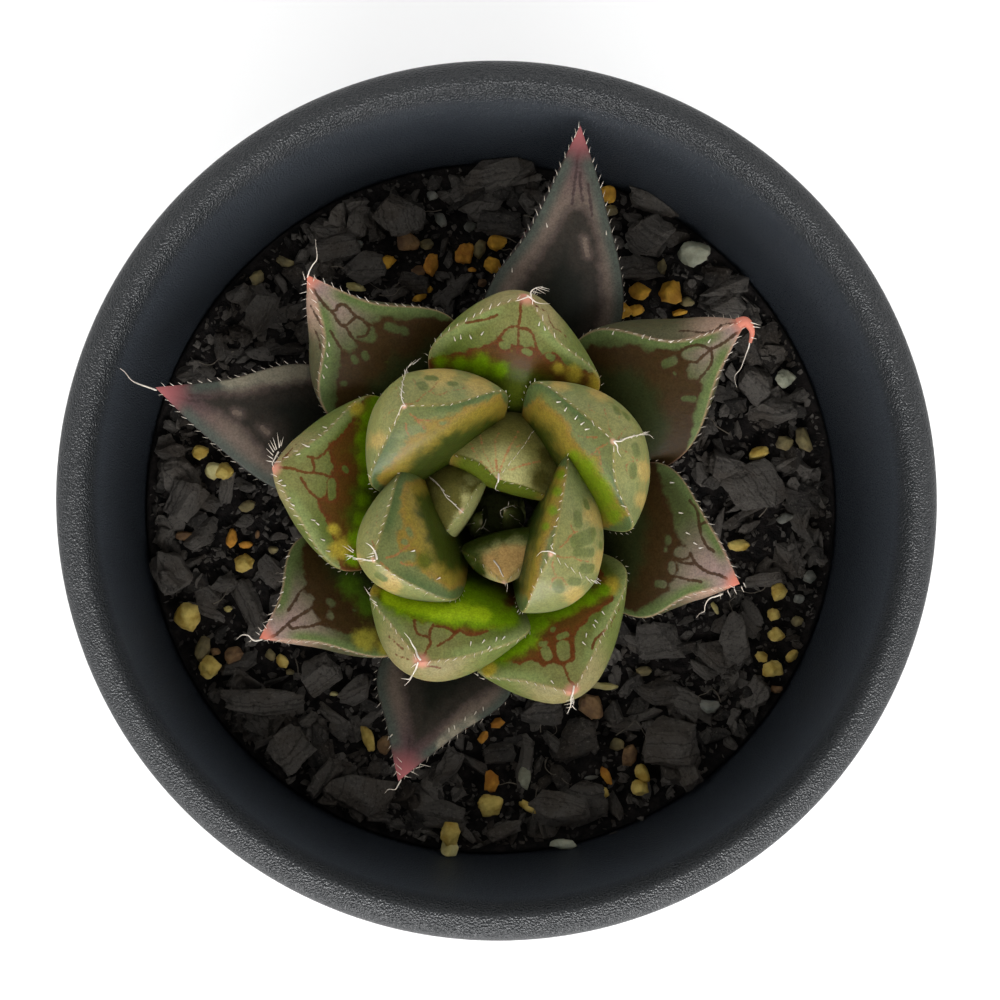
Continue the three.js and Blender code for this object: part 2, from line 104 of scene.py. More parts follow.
# In each leaf's own frame, u runs outwards from the stem's axis along the leaf's turn, v to
# the left of that, and the height is above the potting mix. Both margins and the keel run from
# the base past a shoulder and a near point to the tip. base is (u, height, width, depth).
LEAVES = {
    "leaf_bud_left": dict(
        turn=185, base=(0.9, 8.3, 1.5, 0.8), tip=(1.6, 1.2, 13.0),
        left=[(2.1, 2.5, 10.5), (1.8, 2.0, 12.3)], right=[(1.4, 0.0, 10.5), (1.5, 0.3, 12.3)],
        keel=[(2.9, 1.2, 10.5), (2.4, 1.2, 12.3)]),
    "leaf_bud_right": dict(
        turn=-30, base=(0.9, 8.3, 1.5, 0.8), tip=(0.5, 0.1, 13.5),
        left=[(1.6, 1.2, 10.5), (1.0, 0.8, 12.6)], right=[(1.3, -1.5, 10.5), (0.9, -0.8, 12.6)],
        keel=[(2.9, -0.2, 10.5), (1.7, -0.1, 12.6)]),
    "leaf_heart_front": dict(
        turn=-86, base=(2.2, 8.2, 2.0, 1.0), tip=(7.1, -0.1, 16.0),
        left=[(2.3, 4.2, 14.3), (5.1, 2.0, 15.5)], right=[(3.6, -3.8, 13.9), (4.9, -2.2, 15.3)],
        keel=[(5.9, 0.5, 10.5), (6.9, 0.1, 14.3)]),
    "leaf_heart_left": dict(
        turn=172, base=(2.0, 7.7, 2.4, 1.2), tip=(3.3, 1.1, 17.5),
        left=[(5.1, 5.2, 13.0), (4.2, 2.4, 16.3)], right=[(1.3, -2.7, 14.0), (2.5, -0.9, 16.7)],
        keel=[(8.3, -2.7, 11.0), (5.6, -0.9, 16.5)]),
    "leaf_heart_back": dict(
        turn=78, base=(2.0, 7.7, 2.4, 1.2), tip=(2.1, 0.8, 19.0),
        left=[(3.6, 7.3, 14.5), (3.3, 2.9, 17.5)], right=[(1.5, -5.1, 14.5), (2.0, -2.0, 17.3)],
        keel=[(9.2, -2.2, 11.5), (5.6, -0.9, 16.9)]),
    "leaf_inner_front_right": dict(
        turn=-47, base=(3.0, 6.4, 3.2, 1.5), tip=(6.2, 0, 21.5),
        left=[(0.8, 7.4, 17.9), (3.9, 3.3, 20.9)], right=[(8.4, -5.2, 17.5), (7.2, -2.5, 20.3)],
        keel=[(9.6, 2.4, 11.5), (10.5, 1.3, 18.7)]),
    "leaf_inner_front_left": dict(
        turn=-156, base=(3.2, 6.0, 3.4, 1.5), tip=(12.5, 0, 21.0),
        left=[(7.2, 6.2, 17.0), (10.2, 3.4, 19.8)], right=[(6.6, -6.6, 17.7), (9.8, -3.1, 20.1)],
        keel=[(10.4, 0.2, 10.5), (13.7, -0.8, 18.0)]),
    "leaf_inner_back_left": dict(
        turn=136, base=(3.2, 6.4, 3.4, 1.5), tip=(12.1, 0, 22.0),
        left=[(9.6, 6.9, 18.0), (11.2, 3.1, 20.9)], right=[(6.7, -7.6, 18.0), (9.4, -3.0, 20.9)],
        keel=[(12.6, -2.8, 10.5), (14.2, -2.3, 19.0)]),
    "leaf_inner_back_right": dict(
        turn=29, base=(3.2, 6.2, 3.4, 1.5), tip=(11.2, 0, 21.5),
        left=[(7.9, 8.3, 18.0), (9.9, 4.0, 20.7)], right=[(9.3, -7.7, 17.5), (9.7, -3.2, 20.5)],
        keel=[(13.3, 0.1, 10.5), (14.2, -0.6, 18.7)]),
    "leaf_middle_front_left": dict(
        turn=-117, base=(3.4, 4.6, 3.8, 1.7), tip=(15.8, 0, 19.5),
        left=[(8.6, 7.7, 15.5), (13.2, 3.7, 18.3)], right=[(12.2, -7.0, 15.5), (14.2, -3.4, 18.5)],
        keel=[(13.5, 0.5, 8.5), (17.3, -0.1, 17.0)]),
    "leaf_middle_back": dict(
        turn=83, base=(3.4, 4.8, 3.8, 1.7), tip=(18.8, 0, 19.5),
        left=[(13.0, 8.2, 15.5), (16.8, 4.0, 18.5)], right=[(12.4, -7.9, 15.0), (15.5, -3.1, 18.1)],
        keel=[(16.4, -0.2, 8.5), (19.4, -0.8, 16.5)]),
    "leaf_middle_left": dict(
        turn=171, base=(3.4, 4.2, 3.8, 1.7), tip=(20.7, 0, 18.5),
        left=[(13.2, 8.1, 13.5), (17.9, 3.8, 17.0)], right=[(12.9, -8.5, 13.5), (17.0, -3.5, 17.5)],
        keel=[(16.6, -0.6, 7.5), (20.0, -1.4, 16.0)]),
    "leaf_middle_front_right": dict(
        turn=-69, base=(3.4, 4.0, 3.8, 1.7), tip=(18.0, 0, 18.0),
        left=[(9.4, 8.9, 14.5), (14.4, 4.2, 16.9)], right=[(13.1, -7.4, 14.0), (15.7, -3.4, 16.5)],
        keel=[(14.5, 0.9, 6.8), (18.8, -0.2, 15.0)]),
    "leaf_outer_right": dict(
        turn=-18, base=(3.6, 3.4, 4.0, 1.8), tip=(22.9, 0, 16.5),
        left=[(13.2, 8.8, 12.5), (18.6, 4.5, 15.5)], right=[(15.6, -5.7, 12.5), (19.0, -2.3, 15.5)],
        keel=[(16.0, 1.6, 5.5), (21.0, -0.7, 13.0)]),
    "leaf_outer_back_left": dict(
        turn=130, base=(3.6, 3.2, 4.0, 1.8), tip=(27.3, 0, 16.5),
        left=[(17.6, 6.5, 12.5), (22.3, 2.2, 15.5)], right=[(16.0, -8.2, 12.5), (21.9, -2.9, 15.5)],
        keel=[(20.0, 1.6, 5.5), (24.6, 2.2, 13.5)]),
    "leaf_outer_front_left": dict(
        turn=-151, base=(3.6, 3.0, 4.0, 1.8), tip=(24.8, 0, 15.5),
        left=[(14.9, 7.3, 11.5), (20.6, 2.7, 14.5)], right=[(17.6, -6.5, 11.5), (21.5, -2.4, 14.5)],
        keel=[(18.0, 0.4, 4.8), (22.1, 1.5, 12.5)]),
    "leaf_outer_back_right": dict(
        turn=37, base=(3.6, 3.2, 4.0, 1.8), tip=(28.3, 0, 16.5),
        left=[(16.5, 8.1, 12.5), (22.1, 2.3, 15.9)], right=[(16.7, -6.5, 12.5), (23.7, -2.2, 15.7)],
        keel=[(20.5, 3.0, 5.5), (26.1, 2.4, 13.5)]),
    "leaf_low_front": dict(
        turn=-110, base=(3.8, 2.0, 4.0, 1.3), tip=(26.8, 0, 11.5),
        left=[(15.4, 7.4, 7.0), (21.4, 3.5, 9.5)], right=[(18.0, -5.4, 7.0), (22.6, -2.7, 9.5)],
        keel=[(17.0, 0.5, 3.0), (22.6, -0.1, 7.0)]),
    "leaf_low_back": dict(
        turn=78, base=(3.8, 2.2, 4.0, 1.5), tip=(36.3, 0, 14.5),
        left=[(19.3, 5.4, 9.0), (26.3, 2.5, 12.3)], right=[(19.8, -8.0, 9.0), (29.5, -4.1, 12.7)],
        keel=[(21.7, -1.4, 4.5), (30.2, -0.9, 10.5)]),
    "leaf_low_left": dict(
        turn=161, base=(3.8, 2.1, 4.0, 1.4), tip=(33.2, 0, 14.5),
        left=[(19.3, 5.1, 9.0), (27.4, 2.7, 12.5)], right=[(20.4, -7.4, 9.0), (27.9, -2.8, 12.7)],
        keel=[(20.3, -1.0, 4.5), (28.1, -0.4, 10.0)]),
}

LEAF_STATIONS = 190
TOP_STEPS = 132
BACK_STEPS = 70
TOP_BULGE = 0.08
BACK_BULGE = 0.25
ROUNDNESS = 0.95
BACK_FULL_AT = 0.6
RIDGE_SOFTNESS = 0.35
RIDGE_PASSES = 6

# Teeth along the ridges: smallest and largest length, radius and spacing, how far from the tip
# they begin, and the share of a ridge next to the base that has none.
TOOTH_LENGTH = (0.5, 0.8)
TOOTH_RADIUS = (0.026, 0.042)
TOOTH_SPACING = (0.72, 1.0)
TOOTHLESS_TIP = 0.9
TOOTHLESS_SHARE = 0.42

# What each leaf carries, in its own frame: the outline of the dark blotch on the upper face,
# veins, pale islands (two ends and a reach), soft flushes of cream ground and ochre, of painted
# light where bright green shows through the flesh or glows, and of painted shade (u, v and
# reach), raised studs, and the hooks and hairs at its tip (radius and path).
PAINT = {
    "leaf_bud_left": dict(
        hairs=[
            (0.13, [(1.7, 1.8, 12.6), (1.4, 1.4, 12.6), (1.2, 0.9, 12.8)]),
            (0.07, [(1.5, 1.7, 12.3), (0.9, 2.2, 12.4)]),
            (0.07, [(1.8, 1.7, 12.7), (2.3, 2.1, 12.8)])]),
    "leaf_bud_right": dict(
        hairs=[
            (0.12, [(0.7, 0.5, 13.2), (0.5, 0.2, 13.5), (0.3, -0.2, 13.6), (0.5, -0.5, 13.7),
                    (0.8, -0.7, 13.8)]),
            (0.07, [(0.7, 0.4, 13.3), (1, 0.8, 12.9), (1.6, 0.8, 13)]),
            (0.07, [(0.7, 0.6, 13.2), (0.5, 1, 13.3)])]),
    "leaf_heart_front": dict(
        ochre=[(6.1, 0.2, 1.2), (5, -1.1, 1.1), (4.7, 1.6, 1.1), (4.5, 0.2, 1.1)],
        shade=[(3.4, -2.9, 1.1), (2.7, -1.3, 1.1), (2.4, 0.4, 1.1), (2.5, 2.2, 1), (3.2, 3.8, 1),
               (4.7, -3.1, 1), (5.8, -2.3, 0.8)],
        hairs=[
            (0.15, [(4.9, -0.9, 15.6), (5.5, -0.5, 15.8), (6.3, -0.2, 15.9), (6.8, 0.1, 15.7),
                    (7.4, 0.2, 15.5), (7.8, 0.1, 15.3)])]),
    "leaf_heart_left": dict(
        ground=[(6.8, 0.6, 1.6), (7.4, -1.6, 1.2), (5.2, 3.1, 1.6), (6.2, 2.1, 1.5), (2.4, -1.1, 0.8),
                (4.5, -2.6, 1.4), (5.8, -2.2, 1.4), (4.8, -1.2, 1.4), (4.4, 0.5, 1.1), (5.4, 1.4, 1.2)],
        shade=[(8, 0.8, 1.6), (7.4, 2.8, 1.4), (6, 4.6, 1.2)],
        hairs=[
            (0.1, [(3.2, 1.2, 17.5), (3.8, 0.8, 17.4), (4.3, 0.4, 17.2), (4.9, 0, 17.1), (5.3, -0.5, 16.8),
                   (5.8, -1.1, 16.3), (6.3, -1.5, 15.7), (6.9, -1.9, 15.1), (7.2, -2.5, 14.5),
                   (7.6, -3.2, 13.9)])]),
    "leaf_heart_back": dict(
        blotch=[(5.8, 5.4), (5.3, 3.9), (5.8, 2.9), (6.4, 2.1), (7, 1), (7.8, -0.3), (8, -1.7), (6.9, -3.1),
                (6.2, -4)],
        veins=[
            [(2.4, 0.7), (3.3, 0.7), (4.3, 0.5), (5.3, 0.3), (6.2, 0), (7.2, -0.3)],
            [(2.9, 1), (4.3, 1.4), (5.7, 1.7), (6.5, 1.5)],
            [(3.2, -0.1), (4, -1.4), (4.7, -2.7)],
            [(2.6, 1.5), (3.6, 2.8), (4.9, 3.8)],
            [(2.8, 1.3), (4.4, 2.5), (5.9, 3.1)],
            [(5.5, -0.4), (6.4, -1.4)]],
        ground=[(6.2, 4.1, 1.1), (7.4, 2.5, 0.9), (4.8, 5.5, 0.8), (3.2, -3, 1.1), (5.5, -3.3, 0.9)],
        hairs=[
            (0.17, [(2.6, 0.8, 18.8), (2, 0.7, 19), (1.8, 0.7, 16.3), (1.4, 0.7, 16), (1.3, 0.3, 15.7)])]),
    "leaf_inner_front_right": dict(
        blotch=[(1.7, 6.3), (3.1, 5), (3.7, 3.7), (4.5, 2.3), (5.1, 0.7), (5.8, -0.7), (6.9, -1.9), (8, -4)],
        veins=[
            [(6.4, 0.9), (6.4, 1.6), (6.3, 2.2), (6.3, 2.9), (6.4, 3.2)],
            [(6.3, 2.9), (5.8, 3), (5.4, 3.2)],
            [(6.7, 0.3), (7.2, 0.6), (7.8, 1.3), (8.4, 1.6), (9, 2.1), (9.4, 2.6), (9.3, 3.1)],
            [(9.5, 2.8), (10.2, 2.7), (10.6, 2.3)],
            [(6.8, -0.1), (7.1, -0.6), (7.6, -0.8), (8.2, -0.9), (8.5, -0.7), (9.2, -0.7), (9.8, -0.9)],
            [(8.2, -0.9), (8, -1.3), (8.3, -1.8), (8.9, -2.5)]],
        islands=[((7, 2.5), (7.5, 3.8), 0.7), ((7.7, 1.9), (8.7, 2.9), 0.44),
                 ((7.3, 4.1), (7.5, 4.4), 0.44), ((8.8, 4.1), (9, 4.2), 0.35),
                 ((5.4, 4.2), (5.9, 3.8), 0.53), ((5.1, 5.7), (5.3, 5.6), 0.44),
                 ((9.2, 1.4), (9.8, 2), 0.44), ((9.3, -0.2), (9.8, 0.2), 0.4),
                 ((8.7, -1.4), (9.1, -1.5), 0.53)],
        ground=[(6.6, 5.8, 1.6), (10, 3.4, 1.4), (10.3, -0.7, 1.1)],
        painted_lit_green=[(3.4, 7.4, 0.7), (1.7, 5.7, 0.5), (2.6, 4.3, 0.5), (3.5, 2.8, 0.5), (4.1, 1.4, 0.4)],
        shade=[(0.6, 4.6, 1.1), (1.5, 3.2, 1.1), (2.4, 1.7, 1.1), (3.3, 0.2, 1.2), (4.2, -1.3, 1.2),
               (5.2, -2.8, 1.2), (6.3, -4, 1)],
        hairs=[
            (0.12, [(6.5, 0.3, 21.4), (6, 0.1, 21.5), (5.7, -0.2, 21.2), (5.5, -0.5, 21.4),
                    (5.5, -1.1, 21.5)]),
            (0.08, [(6, 0.4, 21.5), (5.6, 0.5, 21.6)])]),
    "leaf_inner_front_left": dict(
        blotch=[(7.1, -5.1), (7.7, -4.5), (8.2, -3.5), (8.5, -2.9), (8.7, -2.2), (8.9, -1.6), (9.5, -1.3),
                (9.8, -0.8), (9.9, -0.3), (9.9, 0.3), (9.6, 0.4), (9.1, 0.5), (8.7, 0.9), (8.7, 1.3),
                (9.1, 1.6), (9.7, 1.4), (10, 1.6), (9.5, 1.9), (9, 2.3), (8.8, 2.8), (8.3, 3.5), (7.9, 4.3),
                (7.1, 5.2)],
        veins=[
            [(11.3, 0.3), (10.7, 0.4), (10.3, 0.4), (9.9, 0.3), (9.5, 0.2), (9, 0.1)],
            [(10.3, 1.2), (10, 1.5), (9.5, 1.8)],
            [(11.9, -3.4), (12, -2.7), (11.9, -2.1), (11.9, -1.5), (11.9, -0.8)],
            [(10.3, -4.3), (10.6, -3.6), (11, -2.6)],
            [(12.4, 0.2), (12.9, 0.4), (13.6, 0.5)],
            [(11.9, 0.5), (11.6, 1.3), (11.6, 2.3), (11.7, 3.2)]],
        islands=[((9.3, -0.4), (9.2, -0.3), 0.26), ((8.5, -1.2), (8.5, -0.8), 0.26),
                 ((12.7, 1.5), (12.4, 1.9), 0.44)],
        ground=[(11.9, 2.5, 1.1), (13.9, -0.7, 0.7)],
        ochre=[(8.3, 1.8, 0.9)],
        studs=[(8.8, 0.7), (7.7, 3.8)],
        hairs=[
            (0.18, [(12.1, 0.1, 20.9), (12, -0.5, 20.9), (12.1, -1.1, 21.1), (12.4, -1.6, 21.4)]),
            (0.15, [(12.3, 0.1, 21), (12.8, -0.1, 20.6), (13.3, -0.5, 20), (13.8, -0.8, 20),
                    (14.2, -1.2, 20)]),
            (0.09, [(14, -1.1, 18.6), (14.6, -1.6, 18.7)]),
            (0.09, [(13.8, -1.4, 18.6), (14.4, -2.3, 18.7)]),
            (0.08, [(13.7, -1.5, 18.6), (14, -2.2, 18.7)]),
            (0.08, [(14.1, -1.1, 18.7), (14.7, -1, 18.8)]),
            (0.08, [(13.9, -1.1, 18.7), (14.6, -1.3, 18.8)]),
            (0.09, [(12.1, -0.5, 20.9), (12.6, -0.6, 21)]),
            (0.09, [(12.2, -0.3, 20.9), (12.9, -0.4, 21)])]),
    "leaf_inner_back_left": dict(
        blotch=[(9.6, 6.1), (9.6, 5.1), (9.4, 4.4), (9.6, 3.8), (9.7, 3.2), (9.7, 2.4), (9.8, 1.8),
                (10, 1.5), (9.7, 1.3), (9.4, 0.8), (9.3, 0.2), (9.8, 0.1), (10.5, 0.1), (9.6, -0.7),
                (9, -1.8), (8.5, -2.8), (8.2, -3.7), (7.8, -4.6), (7.3, -5.7), (7, -7)],
        veins=[
            [(11.2, 0.1), (10.6, 0), (10, 0.1), (9.4, 0.1)],
            [(10.9, 1), (10.5, 1.3), (10, 1.5)],
            [(10.4, 0), (9.9, -0.4), (9.5, -0.9)],
            [(12.2, -0.3), (11.8, -0.6), (11.6, -1.1), (11.6, -1.7), (11.6, -2.1), (11.4, -2.7),
             (10.9, -2.8), (10.6, -3.1)],
            [(11.4, -2.7), (11.5, -3.2), (11.6, -3.8), (11.4, -4.4)],
            [(10.6, -3.1), (10.2, -4.1), (9.7, -4.9), (9.3, -5.8)],
            [(14.3, -1.1), (13.5, -0.6), (12.8, -0.1)],
            [(12.4, 0.5), (12.7, 1.1), (12.8, 1.7), (12.8, 2.1)],
            [(13.4, -2.5), (12.9, -2.3), (12.6, -1.9)]],
        islands=[((8.7, -1.3), (8.5, -1.6), 0.18), ((12.5, -3.6), (12.2, -3.9), 0.44),
                 ((12.5, -2.6), (12.2, -2.6), 0.48), ((10.7, -4.6), (10.4, -4.9), 0.31)],
        ground=[(12.2, -4.7, 1.9), (8.8, -6.3, 1.4), (11.8, 3.7, 0.9)],
        hairs=[
            (0.09, [(12.1, -0.1, 22), (12.6, -0.3, 21.6), (13.1, -0.7, 21.1), (13.4, -1.1, 20.7),
                    (13.8, -1.6, 20.2), (14.1, -2.2, 19.6), (14.4, -2.7, 19.6), (14.4, -3.3, 19.6)]),
            (0.09, [(12, -0.1, 22), (12.2, 0.1, 22), (12, 0.7, 21.8), (11.8, 1.3, 21.6), (11.5, 1.8, 21.5)]),
            (0.08, [(14.5, -3, 18.7), (14.6, -3.6, 18.8)]),
            (0.09, [(14.4, -3.5, 18.4), (14.3, -4.4, 18.5)]),
            (0.08, [(14.5, -3.2, 18.6), (14.5, -4, 18.7)])]),
    "leaf_inner_back_right": dict(
        blotch=[(7.8, 6.8), (7.7, 6.2), (8.1, 5.2), (8.4, 4.5), (8.6, 3.7), (8.5, 2.8), (8.4, 2.2),
                (8.4, 1.5), (8.5, 0.7), (8.8, -0.1), (9.5, -0.4), (9.2, -1.3), (9, -2.2), (9.2, -3.2),
                (9.2, -3.9), (9.2, -4.7), (9.3, -5.5), (9.8, -6.4)],
        veins=[
            [(10.6, 0.1), (10.1, 0.1), (9.7, 0.1), (9.2, -0.1), (8.9, 0), (8.6, 0.3), (8.5, 0.7)],
            [(9.7, 0), (9.5, -0.7), (9.2, -1.4), (9.1, -2.1)],
            [(8.5, 2.8), (8.6, 2.2), (9.1, 1.6), (9.6, 1.3), (10.1, 1)],
            [(11.5, 0.6), (11.5, 1.2), (11.8, 1.9), (12, 2.6), (12.3, 3.5), (12.3, 4.3)],
            [(11.1, 3.1), (10.9, 3.6), (11.1, 4.2)],
            [(11.8, 0), (12.5, 0.3), (13.4, 0.6), (14, 0.8)],
            [(12.8, 1.5), (13.4, 2.2)],
            [(11.6, -1), (11.9, -1.4), (12.1, -1.9), (12.5, -2.5)],
            [(12.3, -2.5), (11.7, -2.3), (11.3, -2.5), (11.1, -3.1), (11.3, -3.6), (11.4, -4.3)]],
        islands=[((13.2, 2.6), (13.1, 2.2), 0.4), ((13.7, 1.7), (13.7, 1.3), 0.4),
                 ((12.9, -1.4), (12.8, -1.9), 0.48), ((11.8, -2.9), (11.6, -3.5), 0.48)],
        ground=[(12.8, 4.6, 1.2), (12.8, -3.6, 1.1), (11.4, -5.8, 0.9), (9.9, 6.9, 0.9)],
        painted_lit_green=[(7.6, 0.6, 0.7), (8, -0.9, 1.1), (8.2, -2.4, 1.1), (8.3, -4.1, 1.1), (8.5, -5.8, 0.8)],
        studs=[(8.7, 5.5), (8.9, 4.5), (9.3, 3.4), (9.5, 2.7), (9.6, 2.1)],
        hairs=[
            (0.13, [(11.2, 0, 21.5), (11.8, -0.3, 21.1), (12.4, -0.3, 20.7), (12.9, -0.4, 20.3),
                    (13.5, -0.5, 19.8), (14.1, -0.7, 19.2), (14.6, -1, 19.2), (14.8, -1.5, 19.2)]),
            (0.17, [(11.2, 0, 21.5), (11.3, -0.5, 21.3), (11.1, -1, 21.4), (11.1, -1.5, 21.5)]),
            (0.07, [(12.9, -0.5, 20.3), (13.4, -0.3, 19.9)]),
            (0.07, [(13.4, -0.6, 19.9), (14, -0.5, 19.3)])]),
    "leaf_middle_front_left": dict(
        blotch=[(12.3, -6.5), (12.4, -5.8), (12.5, -4.7), (12.5, -3.7), (12.6, -2.9), (12.7, -2.3),
                (12.6, -1.5), (12.2, -0.7), (12.3, -0.2), (12, 0.7), (12.1, 1.6), (11.8, 1.9), (11.7, 2.4),
                (11.6, 2.9), (11.3, 3.4), (10.6, 4.1), (9.9, 4.8), (9.1, 5.3)],
        veins=[
            [(15.1, 0), (14.5, 0), (13.9, 0), (13.4, -0.3), (12.9, -0.5), (12.3, -0.5)],
            [(12.7, -2.2), (13.3, -1.8), (13.6, -1.4), (13.6, -0.9), (13.5, -0.5)],
            [(12.4, -0.5), (12.2, 0.1), (12, 0.7), (12.1, 1.4)],
            [(13.8, 0.7), (13.3, 1), (12.7, 1.4), (12.1, 1.6), (11.7, 1.8)],
            [(11.7, 1.9), (11.7, 2.4), (11.6, 2.9), (11.3, 3.4), (10.6, 4.1)],
            [(15.9, 0.7), (15.7, 1.2), (15.5, 1.8)],
            [(15.1, -3.6), (15.3, -2.8), (15.5, -2)],
            [(16.3, -2.3), (16.2, -1.6), (16.1, -1.1)]],
        # Painted light: the bright green lit through the flesh, and its glowing band.
        painted_lit_green=[(12, -5.2, 0.9), (12, -3.8, 1.1), (11.5, -2.2, 1.3), (11, -0.5, 1.2), (10.6, 1.3, 1.1),
              (9.9, 3, 1.1), (9.3, 4.5, 0.9), (8.6, 5.6, 0.8), (10, -4, 1.8), (9.4, -1.5, 1.8),
              (8.6, 1, 1.8), (7.8, 3.2, 1.6)],
        painted_glow=[(11.8, -5.2, 0.8), (11.6, -4.1, 0.9), (11.4, -3, 0.9), (11.1, -1.9, 0.9), (10.8, -0.8, 0.9),
              (10.5, 0.3, 0.9), (10.1, 1.3, 0.85), (9.7, 2.3, 0.8), (9.4, 3.2, 0.7)],
        ochre=[(12, -6.7, 0.7)],
        studs=[(12.2, 3.2), (11.5, 4.2), (10.8, 5.1), (10.4, 5.7), (11.8, 4.9)],
        hairs=[
            (0.19, [(15.6, -0.1, 19.5), (15.4, -0.5, 19.4), (15, -0.9, 19.2), (14.7, -1.4, 19.4),
                    (14.4, -1.8, 19.5), (14.1, -2.5, 19.7)]),
            (0.17, [(15.9, -0.2, 19.4), (16.5, -0.1, 18.8), (17, -0.1, 18.2), (17.6, -0.1, 18.2),
                    (18.3, -0.3, 18.2)]),
            (0.1, [(17.6, -0.1, 17.5), (17.9, -0.9, 17.6)]),
            (0.1, [(16.1, -0.3, 19.2), (16.6, -0.5, 18.6)]),
            (0.09, [(12.6, -6.7, 16.2), (12.1, -7.6, 16.3)]),
            (0.1, [(12.9, -5.9, 16.9), (12.8, -6.7, 17)]),
            (0.09, [(13.1, -5.7, 17.1), (13, -6.3, 17.2)])]),
    "leaf_middle_back": dict(
        blotch=[(12.5, 8.1), (12.9, 7.1), (13.2, 5.8), (13.6, 4.5), (13.9, 3.6), (14.4, 2.8), (14.9, 2),
                (14.6, 1.3), (14.5, 0.4), (14.5, -0.1), (14.5, -1.4), (14.1, -1.9), (14.2, -2.7),
                (14.2, -3.5), (13.7, -3.9), (13.3, -4.6), (13.2, -5.7), (13.1, -6.9), (12.4, -8)],
        veins=[
            [(18.5, 0.3), (17.9, 0.5), (17.3, 0.4), (16.6, 0.4), (16, 0.4)],
            [(16, 0.4), (16, 0.8), (15.8, 1.3), (15.4, 1.7), (14.9, 2)],
            [(16, 0.4), (15.2, 0.3), (14.4, 0.2), (13.8, 0.2)],
            [(15.9, 0.3), (15.9, -0.4), (15.6, -0.9), (15.1, -1.2), (14.4, -1.5), (14, -1.9)],
            [(18.3, -0.5), (18, -1.3), (17.8, -2.1), (17.1, -2.4), (16.5, -2.9), (16.3, -3.6), (16, -4.2)],
            [(16.8, 2.5), (16.5, 3), (16.2, 3.9), (15.9, 5.1)]],
        islands=[((15.4, 1.3), (15, 1.3), 0.44), ((14.3, 1.6), (14.3, 1.2), 0.35),
                 ((15.3, -0.5), (14.8, -0.5), 0.48), ((14, -0.5), (13.9, -0.9), 0.31),
                 ((13.9, -2.7), (13.8, -3), 0.31)],
        painted_lit_green=[(12.5, 3.4, 1.1), (12.4, 5.2, 0.7), (12.4, 7, 0.7), (12.1, 1.5, 0.8)],
        ochre=[(12.7, -5.3, 0.8), (12.2, -7.5, 0.9), (13, -3.7, 0.6)],
        studs=[(14.3, 5.9), (14.5, 5.4), (14.6, 4.5), (15, 3.6), (16.4, -1.4), (16.1, -2)],
        hairs=[
            (0.15, [(18.8, 0, 19.5), (18.6, -0.4, 19.4), (18.4, -0.8, 19.1), (18.4, -1.4, 18.6),
                    (18.6, -2.2, 18)]),
            (0.15, [(18.7, -0.4, 19.3), (19.2, -0.3, 19.4), (19.6, -0.7, 19.4), (19.8, -1.3, 19.5)]),
            (0.08, [(19.5, -0.5, 18), (19.4, -1.3, 18.1)]),
            (0.08, [(19.8, -0.8, 18), (19.4, -1.7, 18.1)]),
            (0.08, [(19.9, -1, 17.9), (19.7, -2, 18)]),
            (0.08, [(20, -1.2, 17.9), (19.9, -2, 18)]),
            (0.12, [(18.7, -0.1, 19.5), (18.3, 0.7, 19.4), (18.2, 1, 19.3)])]),
    "leaf_middle_left": dict(
        blotch=[(13.7, -8.5), (13.9, -7.4), (14.1, -6.4), (14.5, -5.5), (14.9, -4.7), (15.2, -4.1),
                (15.6, -3.5), (16, -3.1), (16.1, -2.5), (15.8, -1.8), (15.5, -1.3), (15.4, -0.6),
                (15.7, 0.1), (15.7, 0.8), (15.7, 1.5), (16.3, 2), (16.1, 2.8), (15.5, 3.5), (15, 4.2),
                (14.6, 5), (14.2, 6.1), (13.8, 7.1), (13.3, 8.2)],
        veins=[
            [(20, -0.1), (19.1, -0.2), (18.2, -0.1), (17.3, -0.1), (16.4, -0.2), (15.5, -0.1)],
            [(17.7, -1.5), (17, -1.5), (16.4, -2), (16.1, -2.5)],
            [(18, 0.5), (17.6, 1), (17, 1.6), (16.4, 2)],
            [(17.3, -1.3), (17.1, -0.9), (17, -0.3)],
            [(19.1, -2.5), (19.4, -1.8), (19.9, -1)],
            [(17.5, 5.1), (16.2, 6.4), (15.2, 7.2)]],
        islands=[((15.3, 0.4), (15.1, 1.5), 0.4), ((14.4, -1.1), (14.2, -1), 0.26)],
        painted_lit_green=[(12.5, -7.8, 1.1), (12.8, -6, 1.2), (12.8, -4.1, 1.1), (12.6, -2.3, 0.9), (12.5, -0.4, 0.7),
              (12.3, 1.4, 0.7), (12.2, 3.2, 0.8), (12.3, 5, 0.9), (12.5, 6.9, 0.7)],
        ochre=[(14.2, -6.8, 0.8), (13.7, 6.2, 1.1), (14.5, 4.5, 0.6)],
        studs=[(17.8, -2.4), (18.5, -1.6), (16.6, -4.4), (16.3, 4), (15.9, 4.3), (15.2, 5.6), (14.6, 6.5),
               (19.7, 1), (19.3, 1.4), (18.7, 2.4), (18.3, 3)],
        hairs=[
            (0.16, [(20.4, -1.5, 17.8), (20.6, -0.9, 17.8), (20.7, -0.3, 18.5), (20.5, 0, 18.5)]),
            (0.1, [(20.8, -0.5, 18.4), (21.3, -0.5, 18.5)]),
            (0.09, [(20.8, -0.8, 18.2), (21.3, -1, 18.3)]),
            (0.09, [(20.8, -1.1, 18.1), (21.5, -1.6, 18.2)]),
            (0.09, [(20.8, -1.4, 17.9), (21.4, -2.1, 18.1)]),
            (0.09, [(20.7, -1.6, 17.8), (21.3, -2.4, 17.9)]),
            (0.09, [(20.6, -1.7, 17.7), (21.1, -2.7, 17.8)]),
            (0.09, [(20.4, -1.9, 17.6), (20.8, -3.2, 17.7)]),
            (0.08, [(20.3, -2.1, 17.4), (20.2, -2.9, 17.6)]),
            (0.08, [(20.4, -2, 17.6), (20.4, -2.6, 17.7)])]),
    "leaf_middle_front_right": dict(
        blotch=[(13, -7), (12.9, -5.9), (13.3, -4.6), (13.8, -3.8), (14.1, -3.2), (14.1, -2.7),
